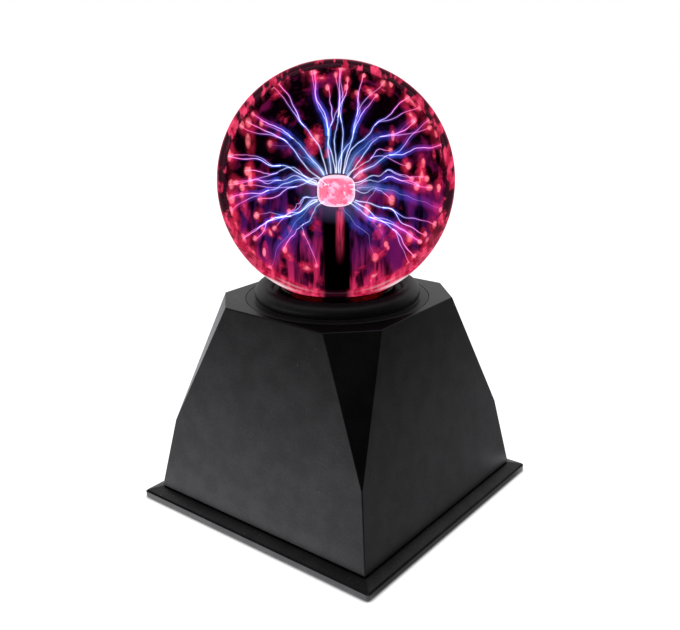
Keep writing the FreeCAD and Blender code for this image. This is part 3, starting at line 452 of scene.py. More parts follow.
def stem_tube(name):
    """The stem's glass: smoky along the tube and clear round the bulb.

    The tube's right side catches the electrode's light in a streak that fades downward.
    """
    made, tree = light_material(name)
    tube = tree.between(tree.height(), BULB_LOW + 0.5 * MM, BULB_LOW - 1.5 * MM)
    smoke = tree.mix(tube, colour(250, 244, 246), colour(66, 30, 46))
    aside = tree.math("DIVIDE", seen_aside(tree), STEM_RADIUS)
    band = tree.product(tree.between(aside, -0.12, 0.22), tree.between(aside, 0.72, 0.40))
    fade = tree.between(tree.height(), BULB_LOW - 25 * MM, BULB_LOW - 3 * MM)
    lines = tree.between(upright_streaks(tree, 0.9, length=14), 0.25, 0.6)
    amount = tree.product(band, fade, lines, tree.outside(), tube)
    streak = tree.light(colour(232, 62, 104), tree.own_light(tree.product(amount, 0.9)))
    tree.output(reflecting(tree, tree.both(tree.clear(smoke), streak), 0.12))
    return made


def added_light(tree, shade, strength):
    """A surface that only adds light to what is behind it."""
    return tree.both(tree.clear(), tree.light(shade, strength))


def discharge(name, stops, strength, softness, flicker=0.35, lumps=4):
    """Filament light: the colour runs along the filament and the edge fades out softly.

    The light wavers by the share flicker, in lumps of so many millimetres.
    """
    made, tree = light_material(name)
    along = tree.add("Attribute", attribute_name="along").outputs["Fac"]
    power = tree.add("Attribute", attribute_name="power").outputs["Fac"]
    body = tree.math("POWER", facing(tree), softness)
    unsteady = tree.between(tree.noise(lumps, detail=2), 0.3, 0.7, 1 - flicker, 1.0)
    amount = tree.own_light(tree.product(body, unsteady, tree.outside(), power, strength))
    tree.output(added_light(tree, tree.ramp(along, *stops), amount))
    return made


def smears(tree, spacing, size):
    """Soft upright spots: (amount of colour, amount of hot centre)."""
    near = tree.spots(spacing, stretch=(1, 1, 2.0))
    raggedness = 0.36
    centred = tree.math("SUBTRACT", near, raggedness / 2)
    ragged = tree.math("MULTIPLY_ADD", tree.noise(2.0, detail=3), raggedness, centred)
    return tree.between(ragged, size, 0.04), tree.between(ragged, 0.45 * size, 0.0)


def far_wall(tree, rise, streaks, lane):
    """What the eye sees behind the filaments: black above, purple below, coral at the bottom."""
    broad_streaks = upright_streaks(tree, 8.0, detail=2.0, length=3.0)
    clouds = tree.noise(11, detail=3)
    spot, hot = smears(tree, 14, 0.34)
    small_spot, small_hot = smears(tree, 8, 0.32)
    scattered = tree.between(tree.noise(14), 0.50, 0.62)
    all_spots = tree.math("MAXIMUM", spot, tree.product(small_spot, scattered))
    all_hot = tree.math("MAXIMUM", hot, tree.product(small_hot, scattered))

    maroon = tree.mix(tree.between(clouds, 0.53, 0.70), colour(5, 1, 5), colour(96, 12, 62))
    deep = tree.mix(tree.between(streaks, 0.44, 0.64), colour(6, 2, 16), colour(62, 19, 88))
    deep = tree.mix(tree.between(broad_streaks, 0.50, 0.68), deep, colour(104, 18, 88))
    wall = tree.mix(tree.between(rise, 0.0, -0.30), maroon, deep)
    ember = tree.mix(tree.between(streaks, 0.42, 0.62), colour(30, 2, 24), colour(214, 44, 94))
    reach = tree.math("MULTIPLY_ADD", broad_streaks, 0.9, tree.math("ADD", rise, 0.22))
    wall = tree.mix(tree.between(reach, 0.05, -0.42), wall, ember)
    wall = tree.mix(tree.product(all_spots, 0.9), wall, colour(224, 40, 86))
    wall = tree.mix(tree.product(all_hot, 0.9), wall, colour(255, 150, 166))
    grazed = tree.between(facing(tree), 0.40, 0.22)
    side = tree.product(grazed, tree.between(rise, 0.4, -0.5, 0.15, 1.0))
    wall = tree.mix(side, wall, rim_light(tree))
    wall = tree.mix(lane, wall, colour(5, 1, 4))
    return tree.light(wall, tree.own_light(1.0))


def near_wall(tree, rise, streaks, lane):
    """Clear skin that only adds a glowing outline and a few streaks near the bottom."""
    outline = tree.math("POWER", tree.math("SUBTRACT", 1.0, facing(tree)), 5.0)
    bottom = tree.product(tree.between(rise, -0.62, -0.95), tree.between(streaks, 0.48, 0.66))
    amount = tree.math("MULTIPLY_ADD", bottom, 0.5, tree.product(outline, 0.6))
    amount = tree.own_light(tree.product(amount, tree.math("SUBTRACT", 1.0, lane)))
    return added_light(tree, rim_light(tree), amount)


def gas_wall(name):
    """Light on the inside of the glass, one look for its near side and one for its far side."""
    made, tree = light_material(name)
    rise = gas_rise(tree)
    lane = stem_lane(tree)
    streaks = upright_streaks(tree, 3.4, detail=2.0, length=5.0)
    near = near_wall(tree, rise, streaks, lane)
    far = far_wall(tree, rise, streaks, lane)
    tree.output(tree.blend(tree.outside(), far, near))
    return made


def hot_electrode(name):
    """Coral glow with paler patches, fine darker creases, painted glints and a pale outline painted as
    the bulb's reflection along its edge.
    """
    made, tree = light_material(name)
    patches = tree.between(tree.noise(4.5, detail=2), 0.46, 0.58)
    glints = tree.between(tree.noise(2.2, detail=3), 0.58, 0.66)
    creases = tree.between(tree.noise(3, detail=4), 0.46, 0.40)
    # Painted reflection: the bulb's edge turns pale where the eye looks along it.
    outline = tree.between(facing(tree), 0.55, 0.25)
    shade = tree.mix(patches, colour(255, 114, 134), colour(255, 188, 212))
    shade = tree.mix(tree.product(creases, 0.7), shade, colour(244, 72, 100))
    shade = tree.mix(tree.product(glints, 0.8), shade, colour(255, 236, 242))
    shade = tree.mix(outline, shade, colour(255, 226, 236))
    tree.output(tree.light(shade, tree.own_light(1.25)))
    return made


def silicone(name, shade, clear_share):
    """Silicone, partly see-through, with a wet-looking surface; what shows through is tinted with
    painted red glow of the discharge.
    """
    made, tree = material(name)
    solid = tree.opaque(shade, 0.15, tree.bump(tree.noise(2.5), 0.15))
    # Painted light: the see-through share is tinted red, as the discharge's glow.
    tree.output(tree.blend(clear_share, solid, tree.clear(colour(190, 60, 80))))
    return made


# Mesh making

ON_AXIS = 0.0001 * MM
BALL_STEPS = 110


def new_piece(name, vertices, faces):
    """A smooth-shaded piece that rides the lamp, its faces turned outward."""
    mesh = bpy.data.meshes.new(name)
    mesh.from_pydata(vertices, [], faces)
    made = bmesh.new()
    made.from_mesh(mesh)
    bmesh.ops.recalc_face_normals(made, faces=made.faces)
    made.to_mesh(mesh)
    made.free()
    mesh.polygons.foreach_set("use_smooth", [True] * len(mesh.polygons))
    piece = bpy.data.objects.new(name, mesh)
    bpy.context.scene.collection.objects.link(piece)
    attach(piece, BODY)
    return piece


def arc(centre_r, centre_z, radius, start, end, steps):
    """Points of an arc in a profile, angles in degrees from the outward direction."""
    turns = [math.radians(start + (end - start) * step / steps) for step in range(steps + 1)]
    return [(centre_r + radius * math.cos(turn), centre_z + radius * math.sin(turn)) for turn in turns]


def softened(corners, radius):
    """A closed profile with every corner rounded."""
    steps = 5
    points = []
    count = len(corners)
    for index, corner in enumerate(corners):
        here = Vector(corner)
        before = Vector(corners[index - 1]) - here
        after = Vector(corners[(index + 1) % count]) - here
        reach = min(radius, before.length * 0.45, after.length * 0.45)
        start = here + before.normalized() * reach
        end = here + after.normalized() * reach
        for step in range(steps + 1):
            share = step / steps
            first = start.lerp(here, share)
            second = here.lerp(end, share)
            points.append(tuple(first.lerp(second, share)))
    return points


def lathe(name, profile, around=192, closed=True):
    """Turn a profile of (radius, height) points about the Z axis; points on the axis become poles."""
    vertices = []
    rings = []
    for radius, level in profile:
        if radius < ON_AXIS:
            rings.append([len(vertices)] * around)
            vertices.append((0, 0, level))
            continue
        rings.append(list(range(len(vertices), len(vertices) + around)))
        for step in range(around):
            turn = 2 * math.pi * step / around
            vertices.append((radius * math.cos(turn), radius * math.sin(turn), level))
    faces = []
    pairs = list(zip(rings, rings[1:]))
    if closed:
        pairs.append((rings[-1], rings[0]))
    for low, high in pairs:
        for step in range(around):
            beside = (step + 1) % around
            corners = [low[step], low[beside], high[beside], high[step]]
            face = list(dict.fromkeys(corners))
            if len(face) > 2:
                faces.append(face)
    return new_piece(name, vertices, faces)


# Turned parts


def stand_in(node, ending, profile, around=192, closed=True):
    """A lathed piece that takes a CAD node's place and finish."""
    piece = lathe(node + "_" + ending, profile, around, closed)
    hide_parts(node)
    paint(piece, FINISHES[SLOT_OF[node]])


def collar_ring():
    """Disc with a half-round bead; the disc runs under the bead and up to the gasket's platform."""
    hole = 22.6 * MM
    hole_chamfer = 0.3 * MM
    outer = RING_RADIUS + 0.15 * MM
    outer_round = 0.4 * MM
    top = ROOF + 0.1 * MM
    low = ROOF - 2 * MM
    bead_at = 32.2 * MM
    bead_radius = 4.2 * MM
    bead_centre = RING_TOP - bead_radius
    bead_foot_gap = 0.5 * MM
    dip = math.degrees(math.asin((bead_centre - top) / bead_radius))
    inner_dip = 180 - math.degrees(math.asin((gasket_low.z - bead_centre) / bead_radius))
    profile = [(hole, low), (outer, low)]
    profile += arc(outer - outer_round, top - outer_round, outer_round, 0, 90, 5)
    profile += [(bead_at + bead_radius * math.cos(math.radians(dip)) + bead_foot_gap, top)]
    profile += arc(bead_at, bead_centre, bead_radius, -dip, inner_dip, 48)
    profile += [(hole + hole_chamfer, gasket_low.z), (hole, gasket_low.z - hole_chamfer)]
    stand_in("collar_ring", "turned", profile)


def gasket():
    """Ring with a bulging outer side; its top follows the ball."""
    inner = 22.8 * MM
    outer = gasket_high.x
    foot = outer - 0.4 * MM
    lip = outer - 0.2 * MM
    bulge_at = outer - 0.6 * MM
    bulge_radius = 0.9 * MM
    ball_gap = 0.02 * MM
    top = [
        (radius, GLOBE.z - math.sqrt(GLOBE_RADIUS**2 - radius**2) - ball_gap)
        for radius in (inner, (inner + outer) / 2, lip)
    ]
    side = arc(bulge_at, (gasket_low.z + top[-1][1]) / 2, bulge_radius, -50, 50, 8)
    profile = [(inner, gasket_low.z), (foot, gasket_low.z)] + side + top[::-1]
    stand_in("globe_gasket", "turned", profile)


def glass_globe():
    """Blown ball with a neck, joined by a smooth flare; one closed skin with real thickness."""
    neck = 20 * MM
    flare = 2.5 * MM

    def skin(ball, tube, blend):
        """Profile from the neck's end up to the pole, along one side of the glass."""
        centre_r = tube + blend
        centre_z = GLOBE.z - math.sqrt((ball + blend) ** 2 - centre_r**2)
        tilt = math.degrees(math.atan2(GLOBE.z - centre_z, -centre_r))
        points = [(tube, glass_low.z)]
        points += arc(centre_r, centre_z, blend, 180, tilt, 10)
        start = -math.degrees(math.acos(centre_r / (ball + blend)))
        return points + arc(0, GLOBE.z, ball, start, 90, BALL_STEPS)

    outer = skin(GLOBE_RADIUS, neck, flare)
    inner = skin(CAVITY_RADIUS, neck - GLASS_WALL, flare + GLASS_WALL)
    stand_in("glass_globe", "blown", outer + inner[::-1], around=224)


def barrel(radius, low, high):
    """Half outline of a barrel with soft shoulders, from its lower pole to its upper one."""
    steps = 40
    half = (high - low) / 2
    points = []
    for step in range(steps + 1):
        turn = math.pi * (step / steps - 0.5)
        across = abs(math.cos(turn)) ** (2 / BARREL_POWER)
        along = math.copysign(abs(math.sin(turn)) ** (2 / BARREL_POWER), math.sin(turn))
        points.append((radius * across, (low + high) / 2 + half * along))
    return points


def stem_glass():
    """Slim tube that flares out below and opens into the bulb above; one closed skin."""
    wall = 0.6 * MM
    flare_low = 82 * MM
    flare_height = 10 * MM
    flare_radius = 18.3 * MM
    flare_bend = 2.2
    flare_steps = 14
    shoulder = 1 * MM

    def skin(tube, rim, bulb, neck_top):
        """Profile from the flare's rim up to the pole, along one side of the glass."""
        points = []
        for step in range(flare_steps + 1):
            share = step / flare_steps
            reach = (rim - tube) * (1 - share) ** flare_bend
            points.append((tube + reach, flare_low + flare_height * share))
        points.append((tube, neck_top))
        return points + [point for point in bulb if point[1] > ELECTRODE.z or point[0] > tube]

    outer_bulb = barrel(BULB_RADIUS, BULB_LOW, BULB_HIGH)
    inner_bulb = barrel(BULB_RADIUS - wall, BULB_LOW + wall, BULB_HIGH - wall)
    outer = skin(STEM_RADIUS, flare_radius, outer_bulb, BULB_LOW - shoulder)
    inner = skin(STEM_RADIUS - wall, flare_radius - wall, inner_bulb, BULB_LOW)
    stand_in("electrode_stem", "blown", outer + inner[::-1], around=128)


def electrode():
    """Glowing filling of the bulb, with the bulb's own outline."""
    inset = 0.65 * MM
    profile = barrel(BULB_RADIUS - inset, BULB_LOW + inset, BULB_HIGH - inset)
    stand_in("electrode_core", "packed", profile, around=128, closed=False)


def sleeve():
    """Black sleeve inside the stem, with rounded ends."""
    bore = 1.3 * MM
    outer = liner_high.x
    end_round = 0.3 * MM
    ends = [(bore, liner_low.z), (outer, liner_low.z), (outer, liner_high.z), (bore, liner_high.z)]
    stand_in("stem_liner", "tube", softened(ends, end_round), around=96)


# Gas discharge

# Where each filament strikes the glass: its direction from the globe's middle and its look.
STRIKES = (
    (-110, 70, "broad"), (-155, 60, "thin"), (180, 65, "thin"), (-175, 45, "broad"),
    (150, 45, "thin"), (160, 30, "faint"), (90, 35, "thin"), (-175, 10, "thin"),
    (120, 20, "broad"), (170, -5, "thin"), (80, 5, "broad"), (125, -15, "faint"),
    (90, -25, "broad"), (65, 0, "thin"), (175, -45, "faint"), (60, -30, "faint"),
    (10, -25, "broad"), (-70, -35, "broad"), (0, 0, "thin"), (-45, 15, "thin"),
    (-85, -5, "broad"), (-60, -10, "broad"), (-10, 12, "thin"), (-75, 35, "broad"),
    (-25, 35, "thin"), (-55, 60, "thin"), (-100, 15, "faint"), (-40, -30, "thin"),
    (-110, -25, "thin"), (100, -38, "thin"), (140, -32, "thin"), (-20, -45, "faint"),
    (-160, 82, "thin"), (-135, 52, "thin"),
)

# The waves of a filament: about how many half turns each makes, and its size in millimetres.
WAVES = ((2.0, 1.7), (4.5, 0.75), (9.0, 0.24), (19.0, 0.10))

FILAMENT_STEPS = 44
CORE_SIDES = 8
HALO_SIDES = 14
HAZE_SIDES = 16
TRUNK_SHARE = 1.0
FORK_SHARE = 0.55
FREE_SPOTS = 18
GLASS_GAP = 0.5 * MM

# Radii of core, halo and haze in millimetres, and how strongly the first two shine.
LOOKS = {
    "thin": (0.24, 0.85, 0.0, 1.3, 0.75),
    "broad": (0.28, 1.6, 4.2, 1.1, 1.0),
    "faint": (0.14, 2.4, 5.0, 0.3, 0.5),
}


def barrel_point(way):
    """Where a line from the bulb's middle leaves the bulb."""
    across = math.hypot(way.x, way.y)
    out = BULB_RADIUS * 0.97 * across ** (2 / BARREL_POWER)
    rise = math.copysign((BULB_HIGH - ELECTRODE.z) * abs(way.z) ** (2 / BARREL_POWER), way.z)
    return ELECTRODE + Vector((way.x / across * out, way.y / across * out, rise))


def filament_path(azimuth, elevation, dice):
    """A wavering path from the bulb to the glass, bowed upward by the warm gas."""
    out = direction(azimuth, elevation)
    end = GLOBE + out * (CAVITY_RADIUS - GLASS_GAP)
    lowest, highest = -24, 74
    steep = max(lowest, min(highest, 13 + 1.12 * elevation + dice.uniform(-9, 9)))
    leave = direction(azimuth + dice.uniform(-20, 20), steep)
    start = barrel_point(leave)
    span = (end - start).length
    lift = Vector((0, 0, 0.035 * span))
    first = start + leave * span * 0.36 + lift
    second = end - out * span * 0.30 + lift
    side = out.cross(Vector((0, 0, 1))).normalized()
    over = side.cross(out).normalized()
    waves = [
        (dice.uniform(0, 2 * math.pi), dice.uniform(0.6, 1.4) * rate, dice.choice((side, over)), size)
        for rate, size in WAVES
    ]
    points = []
    for step in range(FILAMENT_STEPS + 1):
        share = step / FILAMENT_STEPS
        rest = 1 - share
        point = (
            start * rest**3
            + first * 3 * rest**2 * share
            + second * 3 * rest * share**2
            + end * share**3
        )
        calm = math.sin(math.pi * share) ** 0.6
        for phase, rate, way, size in waves:
            point = point + way * (size * MM * calm * math.sin(phase + rate * math.pi * share))
        points.append(point)
    return points


def forked(trunk, azimuth, elevation, dice):
    """A branch that leaves the trunk half way and strikes the glass beside it."""
    aside = dice.choice((-1, 1)) * dice.uniform(9, 17)
    other = filament_path(azimuth + aside, elevation + dice.uniform(-13, 13), dice)
    split = dice.uniform(0.35, 0.6)
    points = []
    for index, point in enumerate(trunk):
        share = index / (len(trunk) - 1)
        part = max(0.0, (share - split) / (1 - split))
        points.append(point.lerp(other[index], math.sin(part * math.pi / 2)))
    return points


def tube_mesh(points, radii, sides, vertices, faces, tags, power):
    """Add a round tube along points; tags collects each vertex's (share along, power)."""
    count = len(points)
    across = (points[1] - points[0]).orthogonal().normalized()
    first = len(vertices)
    for index, point in enumerate(points):
        way = (points[min(index + 1, count - 1)] - points[max(index - 1, 0)]).normalized()
        across = (across - way * across.dot(way)).normalized()
        other = way.cross(across)
        for side in range(sides):
            turn = 2 * math.pi * side / sides
            offset = across * math.cos(turn) + other * math.sin(turn)
            vertices.append(point + offset * radii[index])
            tags.append((index / (count - 1), power))
    for index in range(count - 1):
        for side in range(sides):
            beside = (side + 1) % sides
            low = first + index * sides
            high = low + sides
            faces.append((low + side, low + beside, high + beside, high + side))
    faces.append(tuple(first + side for side in reversed(range(sides))))
    faces.append(tuple(first + (count - 1) * sides + side for side in range(sides)))


def tagged_piece(name, vertices, faces, tags):
    """A piece of light that carries each vertex's (share along, power)."""
    piece = new_piece(name, vertices, faces)
    for number, word in enumerate(("along", "power")):
        layer = piece.data.attributes.new(word, "FLOAT", "POINT")
        layer.data.foreach_set("value", [tag[number] for tag in tags])
    return piece


def ball_of_light(centre, radius, stretch, vertices, faces, tags, power, rings=10, around=18):
    """A round or upright spot of light."""
    first = len(vertices)
    for ring in range(1, rings):
        tilt = math.pi * ring / rings
        for step in range(around):
            turn = 2 * math.pi * step / around
            flat = Vector((math.cos(turn), math.sin(turn), 0)) * (math.sin(tilt) * radius)
            vertices.append(centre + flat + Vector((0, 0, math.cos(tilt) * radius * stretch)))
            tags.append((1.0, power))
    for ring in range(rings - 2):
        for step in range(around):
            beside = (step + 1) % around
            low = first + ring * around
            faces.append((low + step, low + beside, low + around + beside, low + around + step))
    for sign, ring in ((1, 0), (-1, rings - 2)):
        pole = len(vertices)
        vertices.append(centre + Vector((0, 0, sign * radius * stretch)))
        tags.append((1.0, power))
        for step in range(around):
            beside = (step + 1) % around
            low = first + ring * around
            faces.append((pole, low + step, low + beside))


def spot_on_glass(outward, size, stretch, dice, tips, glows):
    """A coral spot just inside the glass, with a hot middle and a wide glow."""
    power = dice.uniform(0.6, 1.0)
    for share, meshes in ((1.0, tips), (2.2, glows)):
        radius = size * share
        place = GLOBE + outward * (CAVITY_RADIUS - GLASS_GAP - radius * 0.8)
        ball_of_light(place, radius, stretch, *meshes, power)


def core_light():
    stops = [
        (0.0, colour(244, 246, 255)),
        (0.35, colour(210, 230, 255)),
        (0.6, colour(204, 190, 250)),
        (0.85, colour(244, 130, 190)),
        (1.0, colour(255, 130, 156)),
    ]
    return discharge("filament_core", stops, 1.5, 0.8)


def halo_light():
    stops = [
        (0.0, colour(140, 190, 255)),
        (0.25, colour(66, 118, 244)),
        (0.55, colour(62, 66, 206)),
        (0.8, colour(116, 40, 150)),
        (1.0, colour(190, 40, 110)),
    ]
    return discharge("filament_halo", stops, 0.9, 2.1)


def haze_light():
    stops = [
        (0.0, colour(120, 150, 240)),
        (0.4, colour(70, 60, 180)),
        (0.7, colour(92, 34, 120)),
        (1.0, colour(150, 36, 90)),
    ]
    return discharge("filament_haze", stops, 0.12, 2.6, flicker=0.8)


def one_colour(shade):
    return [(0.0, shade), (1.0, shade)]


def tip_light():
    coral = one_colour(colour(255, 128, 138))
    return discharge("filament_tip", coral, 1.6, 2.4, flicker=0.55, lumps=2.0)


def tip_glow_light():
    ember = one_colour(colour(222, 40, 78))
    return discharge("filament_tip_glow", ember, 0.6, 3.0, flicker=0.7, lumps=3.0)


def add_filament(points, look, share, cores, halos, hazes):
    """Add one filament's core and halo and, for a trunk, its haze; share is its part of the power."""
    core, halo, haze, core_power, halo_power = LOOKS[look]
    last = len(points) - 1
    taper = []
    swell = []
    fan = []
    for index in range(len(points)):
        taper.append(1 - 0.45 * index / last)
        swell.append(0.35 + 0.75 * math.sin(math.pi * min(1.0, 0.08 + 0.8 * index / last)))
        fan.append(0.25 + 0.85 * math.sin(math.pi * 0.85 * index / last))
    tube_mesh(points, [core * MM * part for part in taper], CORE_SIDES, *cores, core_power * share)
    tube_mesh(points, [halo * MM * part for part in swell], HALO_SIDES, *halos, halo_power * share)
    if haze and share == TRUNK_SHARE:
        tube_mesh(points, [haze * MM * part for part in fan], HAZE_SIDES, *hazes, 1.0)


def discharge_pieces():
    """All filaments and the spots where they meet the glass, gathered into five pieces."""
    dice = random.Random(SEED)
    cores, halos, hazes, tips, glows = [([], [], []) for _ in range(5)]
    for azimuth, elevation, look in STRIKES:
        trunk = filament_path(azimuth, elevation, dice)
        branches = [(trunk, TRUNK_SHARE)]
        if look != "faint":
            branches.append((forked(trunk, azimuth, elevation, dice), FORK_SHARE))
        for points, share in branches:
            add_filament(points, look, share, cores, halos, hazes)
            outward = (points[-1] - GLOBE).normalized()
            size = dice.uniform(1.0, 1.7) * MM
            stretch = dice.uniform(0.9, 1.6)
            spot_on_glass(outward, size, stretch, dice, tips, glows)
    for _ in range(FREE_SPOTS):
        azimuth = dice.choice((-1, 1)) * dice.uniform(35, 150) + CAMERA_AZIMUTH
        outward = direction(azimuth, dice.uniform(-50, 60))
        size = dice.uniform(0.7, 1.3) * MM
        stretch = dice.uniform(1.2, 3.0)
        spot_on_glass(outward, size, stretch, dice, tips, glows)

    paint(tagged_piece("discharge_cores", *cores), core_light())
    paint(tagged_piece("discharge_halos", *halos), halo_light())
    paint(tagged_piece("discharge_hazes", *hazes), haze_light())
    paint(tagged_piece("discharge_tips", *tips), tip_light())
    paint(tagged_piece("discharge_tip_glow", *glows), tip_glow_light())


def corona():
    """Soft ball of light round the electrode."""
    mesh = ([], [], [])
    ball_of_light(ELECTRODE, CORONA_RADIUS, 0.85, *mesh, 1.0, rings=32, around=64)
    piece = tagged_piece("electrode_corona", *mesh)
    pale = one_colour(colour(196, 170, 255))
    paint(piece, discharge("corona", pale, 0.16, 2.2, flicker=0.2, lumps=6))


def gas_glow():
    """Closed skin just inside the cavity that carries the light on the glass."""
    skin_gap = 0.15 * MM
    radius = CAVITY_RADIUS - skin_gap
    mouth = 18 * MM
    bottom = GLOBE.z - GLOBE_RADIUS
    start = -math.degrees(math.acos(mouth / radius))
    profile = [(0, bottom), (mouth, bottom)] + arc(0, GLOBE.z, radius, start, 90, BALL_STEPS)
    piece = lathe("gas_glow", profile, closed=False)
    paint(piece, gas_wall("gas_glow"))


# Painting and dressing the frame


def paint(piece, finish):
    piece.data.materials.clear()
    piece.data.materials.append(finish)
    piece.data.polygons.foreach_set("material_index", [0] * len(piece.data.polygons))


def soften_edges(node, width):
    """Round the CAD node's sharp edges with modifiers; its own vertices stay as they are."""
    weld = node.modifiers.new("weld", "WELD")
    weld.merge_threshold = 1e-6
    bevel = node.modifiers.new("edge", "BEVEL")
    bevel.width = width * MM
    bevel.segments = 3
    bevel.limit_method = "ANGLE"
    bevel.angle_limit = math.radians(28)
    bevel.use_clamp_overlap = True
    bevel.harden_normals = False
    node.data.polygons.foreach_set("use_smooth", [True] * len(node.data.polygons))
    normals = node.modifiers.new("normals", "WEIGHTED_NORMAL")
    normals.keep_sharp = True


FINISHES = {
    "base_plastic": moulded_plastic("base_plastic", colour(3, 3, 4), 0.33, dust_and_corner_shade=0.5),
    # The ring's black is lighter than the base's, in part as painted light for the globe's glow
    # falling on it.
    "ring_plastic": moulded_plastic(
        "ring_plastic", colour(46, 45, 45), 0.42, grain=0.5, grain_depth=0.008
    ),
    "clear_glass": globe_glass("clear_glass"),
    "stem_glass": stem_tube("stem_glass"),
    "electrode_glow": hot_electrode("electrode_glow"),
    "liner_black": rubber("liner_black", colour(8, 4, 7), 0.6),
    # The clear silicone's dark red shade is painted glow of the discharge seen in it.
    "clear_silicone": silicone("clear_silicone", colour(60, 8, 18), 0.45),
    "white_silicone": silicone("white_silicone", colour(225, 224, 216), 0.1),
    "boot_rubber": rubber("boot_rubber", colour(24, 24, 25)),
    "foot_rubber": rubber("foot_rubber", colour(20, 20, 21), 0.85),
    "holder_plastic": moulded_plastic("holder_plastic", colour(200, 198, 188), 0.45),
    "screw_steel": metal("screw_steel", colour(190, 190, 186)),
    "board_green": printed_board("board_green"),
    "ferrite": moulded_plastic("ferrite", colour(44, 44, 48), 0.6, grain=0.2, grain_depth=0.03),
    "bobbin_nylon": moulded_plastic("bobbin_nylon", colour(214, 208, 190), 0.5),
    "copper_wire": wound("copper_wire", colour(120, 52, 20), colour(224, 128, 70), 0.45, 0.9),
    "winding_tape": wound("winding_tape", colour(196, 150, 26), colour(240, 206, 70), 6.0),
    "black_aluminium": metal("black_aluminium", colour(46, 46, 50), 0.45, brush=(1, 1, 20)),
    "pad_grey": rubber("pad_grey", colour(112, 116, 122)),
    "component_black": moulded_plastic("component_black", colour(11, 11, 12), 0.5, grain=0.15),
    "can_sleeve": wound("can_sleeve", colour(16, 26, 66), colour(36, 52, 110), 8.0),
    "film_red": moulded_plastic("film_red", colour(146, 40, 26), 0.25, grain=1.5, grain_depth=0.04),
    "resistor_body": banded(
        "resistor_body",
        colour(206, 182, 140),
        (colour(120, 66, 30), colour(20, 20, 20), colour(220, 90, 20), colour(190, 160, 60)),
        6.3,
    ),
    "preset_blue": moulded_plastic("preset_blue", colour(26, 84, 176), 0.4),
    "preset_white": moulded_plastic("preset_white", colour(226, 226, 220), 0.4),
    "contact_metal": metal("contact_metal", colour(214, 196, 140), 0.25),
    "switch_metal": metal("switch_metal", colour(176, 176, 178), 0.35, brush=(12, 1, 1)),
    "capsule_metal": metal("capsule_metal", colour(190, 190, 194), 0.3),
    "lead_red": moulded_plastic("lead_red", colour(160, 22, 20), 0.35, grain=1.0),
    "lead_grey": moulded_plastic("lead_grey", colour(120, 120, 124), 0.35, grain=1.0),
    "lead_blue": moulded_plastic("lead_blue", colour(34, 60, 150), 0.35, grain=1.0),
    "high_voltage_red": rubber("high_voltage_red", colour(170, 24, 18), 0.5),
}
SLOT_OF = {part["node"]: part["material_slot"] for part in frame["record"]["subparts"]}

# How wide each node's edges are rounded, in millimetres.
EDGES = {"body_shell": 0.22, "base_plate": 0.35}
OTHER_EDGES = 0.1


def dress_frame():
    """Give every CAD node its finish and soft edges."""
    for name, node in frame["nodes"].items():
        paint(node, FINISHES[SLOT_OF[name]])
        soften_edges(node, EDGES.get(name, OTHER_EDGES))


# Stage: floor, light and camera


def toward_camera(tree, way):
    """How far way reaches toward the camera's side of the lamp."""
    ways = {0: way, 1: direction(CAMERA_AZIMUTH, 0)}
    return tree.add("VectorMath", ways, operation="DOT_PRODUCT").outputs["Value"]


def stage_camera():
    back = direction(CAMERA_AZIMUTH, CAMERA_ELEVATION)
    right = direction(CAMERA_AZIMUTH + 90, 0)
    up = back.cross(right)
    roll = math.radians(CAMERA_ROLL)
    across = right * math.cos(roll) + up * math.sin(roll)
    upright = up * math.cos(roll) - right * math.sin(roll)
    target = right * CAMERA_AIM_RIGHT + Vector((0, 0, CAMERA_AIM_HEIGHT))
    data = bpy.data.cameras.new("camera")
    data.lens = LENS
    data.sensor_width = SENSOR
    data.clip_start = 0.01
    data.clip_end = 100
    camera = bpy.data.objects.new("camera", data)
    bpy.context.scene.collection.objects.link(camera)
    turned = Matrix((across, upright, back)).transposed().to_4x4()
    camera.matrix_world = Matrix.Translation(target + back * CAMERA_DISTANCE) @ turned
    bpy.context.scene.camera = camera


def mirrored_floor(tree):
    """How bright the floor is to the parts that mirror it.

    It fades with distance, to the right and to the front, and is lifted beside the plate's edge.
    """
    place = tree.add("NewGeometry").outputs["Position"]
    away = tree.add("VectorMath", {0: place}, operation="LENGTH").outputs["Value"]
    across, along = tree.axis(place, "X"), tree.axis(place, "Y")
    beside = tree.math("MAXIMUM", tree.math("ABSOLUTE", across), tree.math("ABSOLUTE", along))
    rightward = tree.math("DIVIDE", across, away)
    by_edge = tree.between(beside, PLATE_HALF + 20 * MM, PLATE_HALF + 8 * MM)
    by_edge = tree.product(by_edge, tree.between(rightward, 0.80, 0.66))
    edge_lift = tree.math("MULTIPLY_ADD", by_edge, 0.7, 1.0)
    right_low = tree.math("MAXIMUM", tree.between(away, 0.15, 0.7, 0.31, 0.02), by_edge)
    right_dim = tree.between(rightward, 0.0, 0.75, 1.0, right_low)
    frontward = tree.math("DIVIDE", toward_camera(tree, place), away)
    front_low = tree.between(away, 0.15, 0.7, 1.0, 0.45)
    front_dim = tree.between(frontward, 0.0, 0.4, 1.0, front_low)
    far_dim = tree.between(away, 0.1, 0.9, 1.22, 0.50)
    return tree.product(far_dim, right_dim, front_dim, edge_lift)


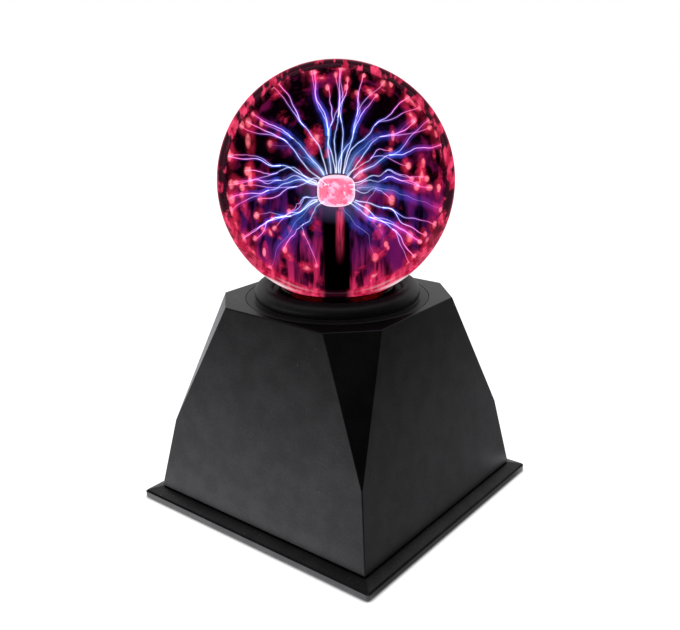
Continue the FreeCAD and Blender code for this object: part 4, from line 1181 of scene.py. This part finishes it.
def pale_floor():
    """White to the eye with a short contact shadow; in mirrors only its own light counts."""
    made, tree = material("pale_floor")
    seen = tree.seen()
    contact = tree.add("AmbientOcclusion", {"Distance": 2.2 * MM}, samples=8).outputs["AO"]
    seen_power = tree.between(contact, 0.45, 0.95, 0.06, 0.90)
    powers = {0: seen, 2: mirrored_floor(tree), 3: seen_power}
    power = tree.add("Mix", powers, data_type="FLOAT").outputs[0]
    matt_shade = tree.mix(seen, (0, 0, 0, 1), (0.9, 0.9, 0.9, 1))
    matt = tree.add("BsdfDiffuse", {"Color": matt_shade}).outputs[0]
    tint = tree.mix(seen, (1.0, 0.985, 1.035, 1), (1, 1, 1, 1))
    tree.output(tree.both(matt, tree.light(tint, power)))
    return made


def stage_floor():
    half = 4.0
    corners = [(-half, -half, 0), (half, -half, 0), (half, half, 0), (-half, half, 0)]
    mesh = bpy.data.meshes.new("floor")
    mesh.from_pydata(corners, [], [(0, 1, 2, 3)])
    mesh.materials.append(pale_floor())
    floor = bpy.data.objects.new("floor", mesh)
    bpy.context.scene.collection.objects.link(floor)


def stage_world():
    """A tent, white to the eye, that lights the lamp only from behind it and from overhead."""
    world = bpy.data.worlds.new("tent")
    world.use_nodes = True
    bpy.context.scene.world = world
    tree = Tree(world.node_tree)
    way = tree.add("TexCoord").outputs["Generated"]
    rise = tree.axis(way, "Z")
    behind = tree.between(toward_camera(tree, way), -0.05, -0.8)
    sides = tree.product(behind, tree.between(rise, 0.35, 0.75, 0.57, 0.3))
    overhead = tree.between(rise, 0.50, 0.92, 0.012, 0.62)
    strength = tree.math("MAXIMUM", tree.seen(), tree.math("ADD", sides, overhead))
    shade = tree.add("Background", {"Color": (1, 1, 1, 1), "Strength": strength})
    out = tree.add("OutputWorld")
    tree.feed(out.inputs["Surface"], shade.outputs[0])


def stage_settings():
    """Plain display colours, and bounces enough for the many clear skins in the globe."""
    scene = bpy.context.scene
    scene.view_settings.view_transform = "Standard"
    scene.cycles.transparent_max_bounces = 96
    scene.cycles.max_bounces = 12


dress_frame()
collar_ring()
gasket()
glass_globe()
stem_glass()
electrode()
sleeve()
gas_glow()
discharge_pieces()
corona()
stage_floor()
stage_world()
stage_camera()
stage_settings()
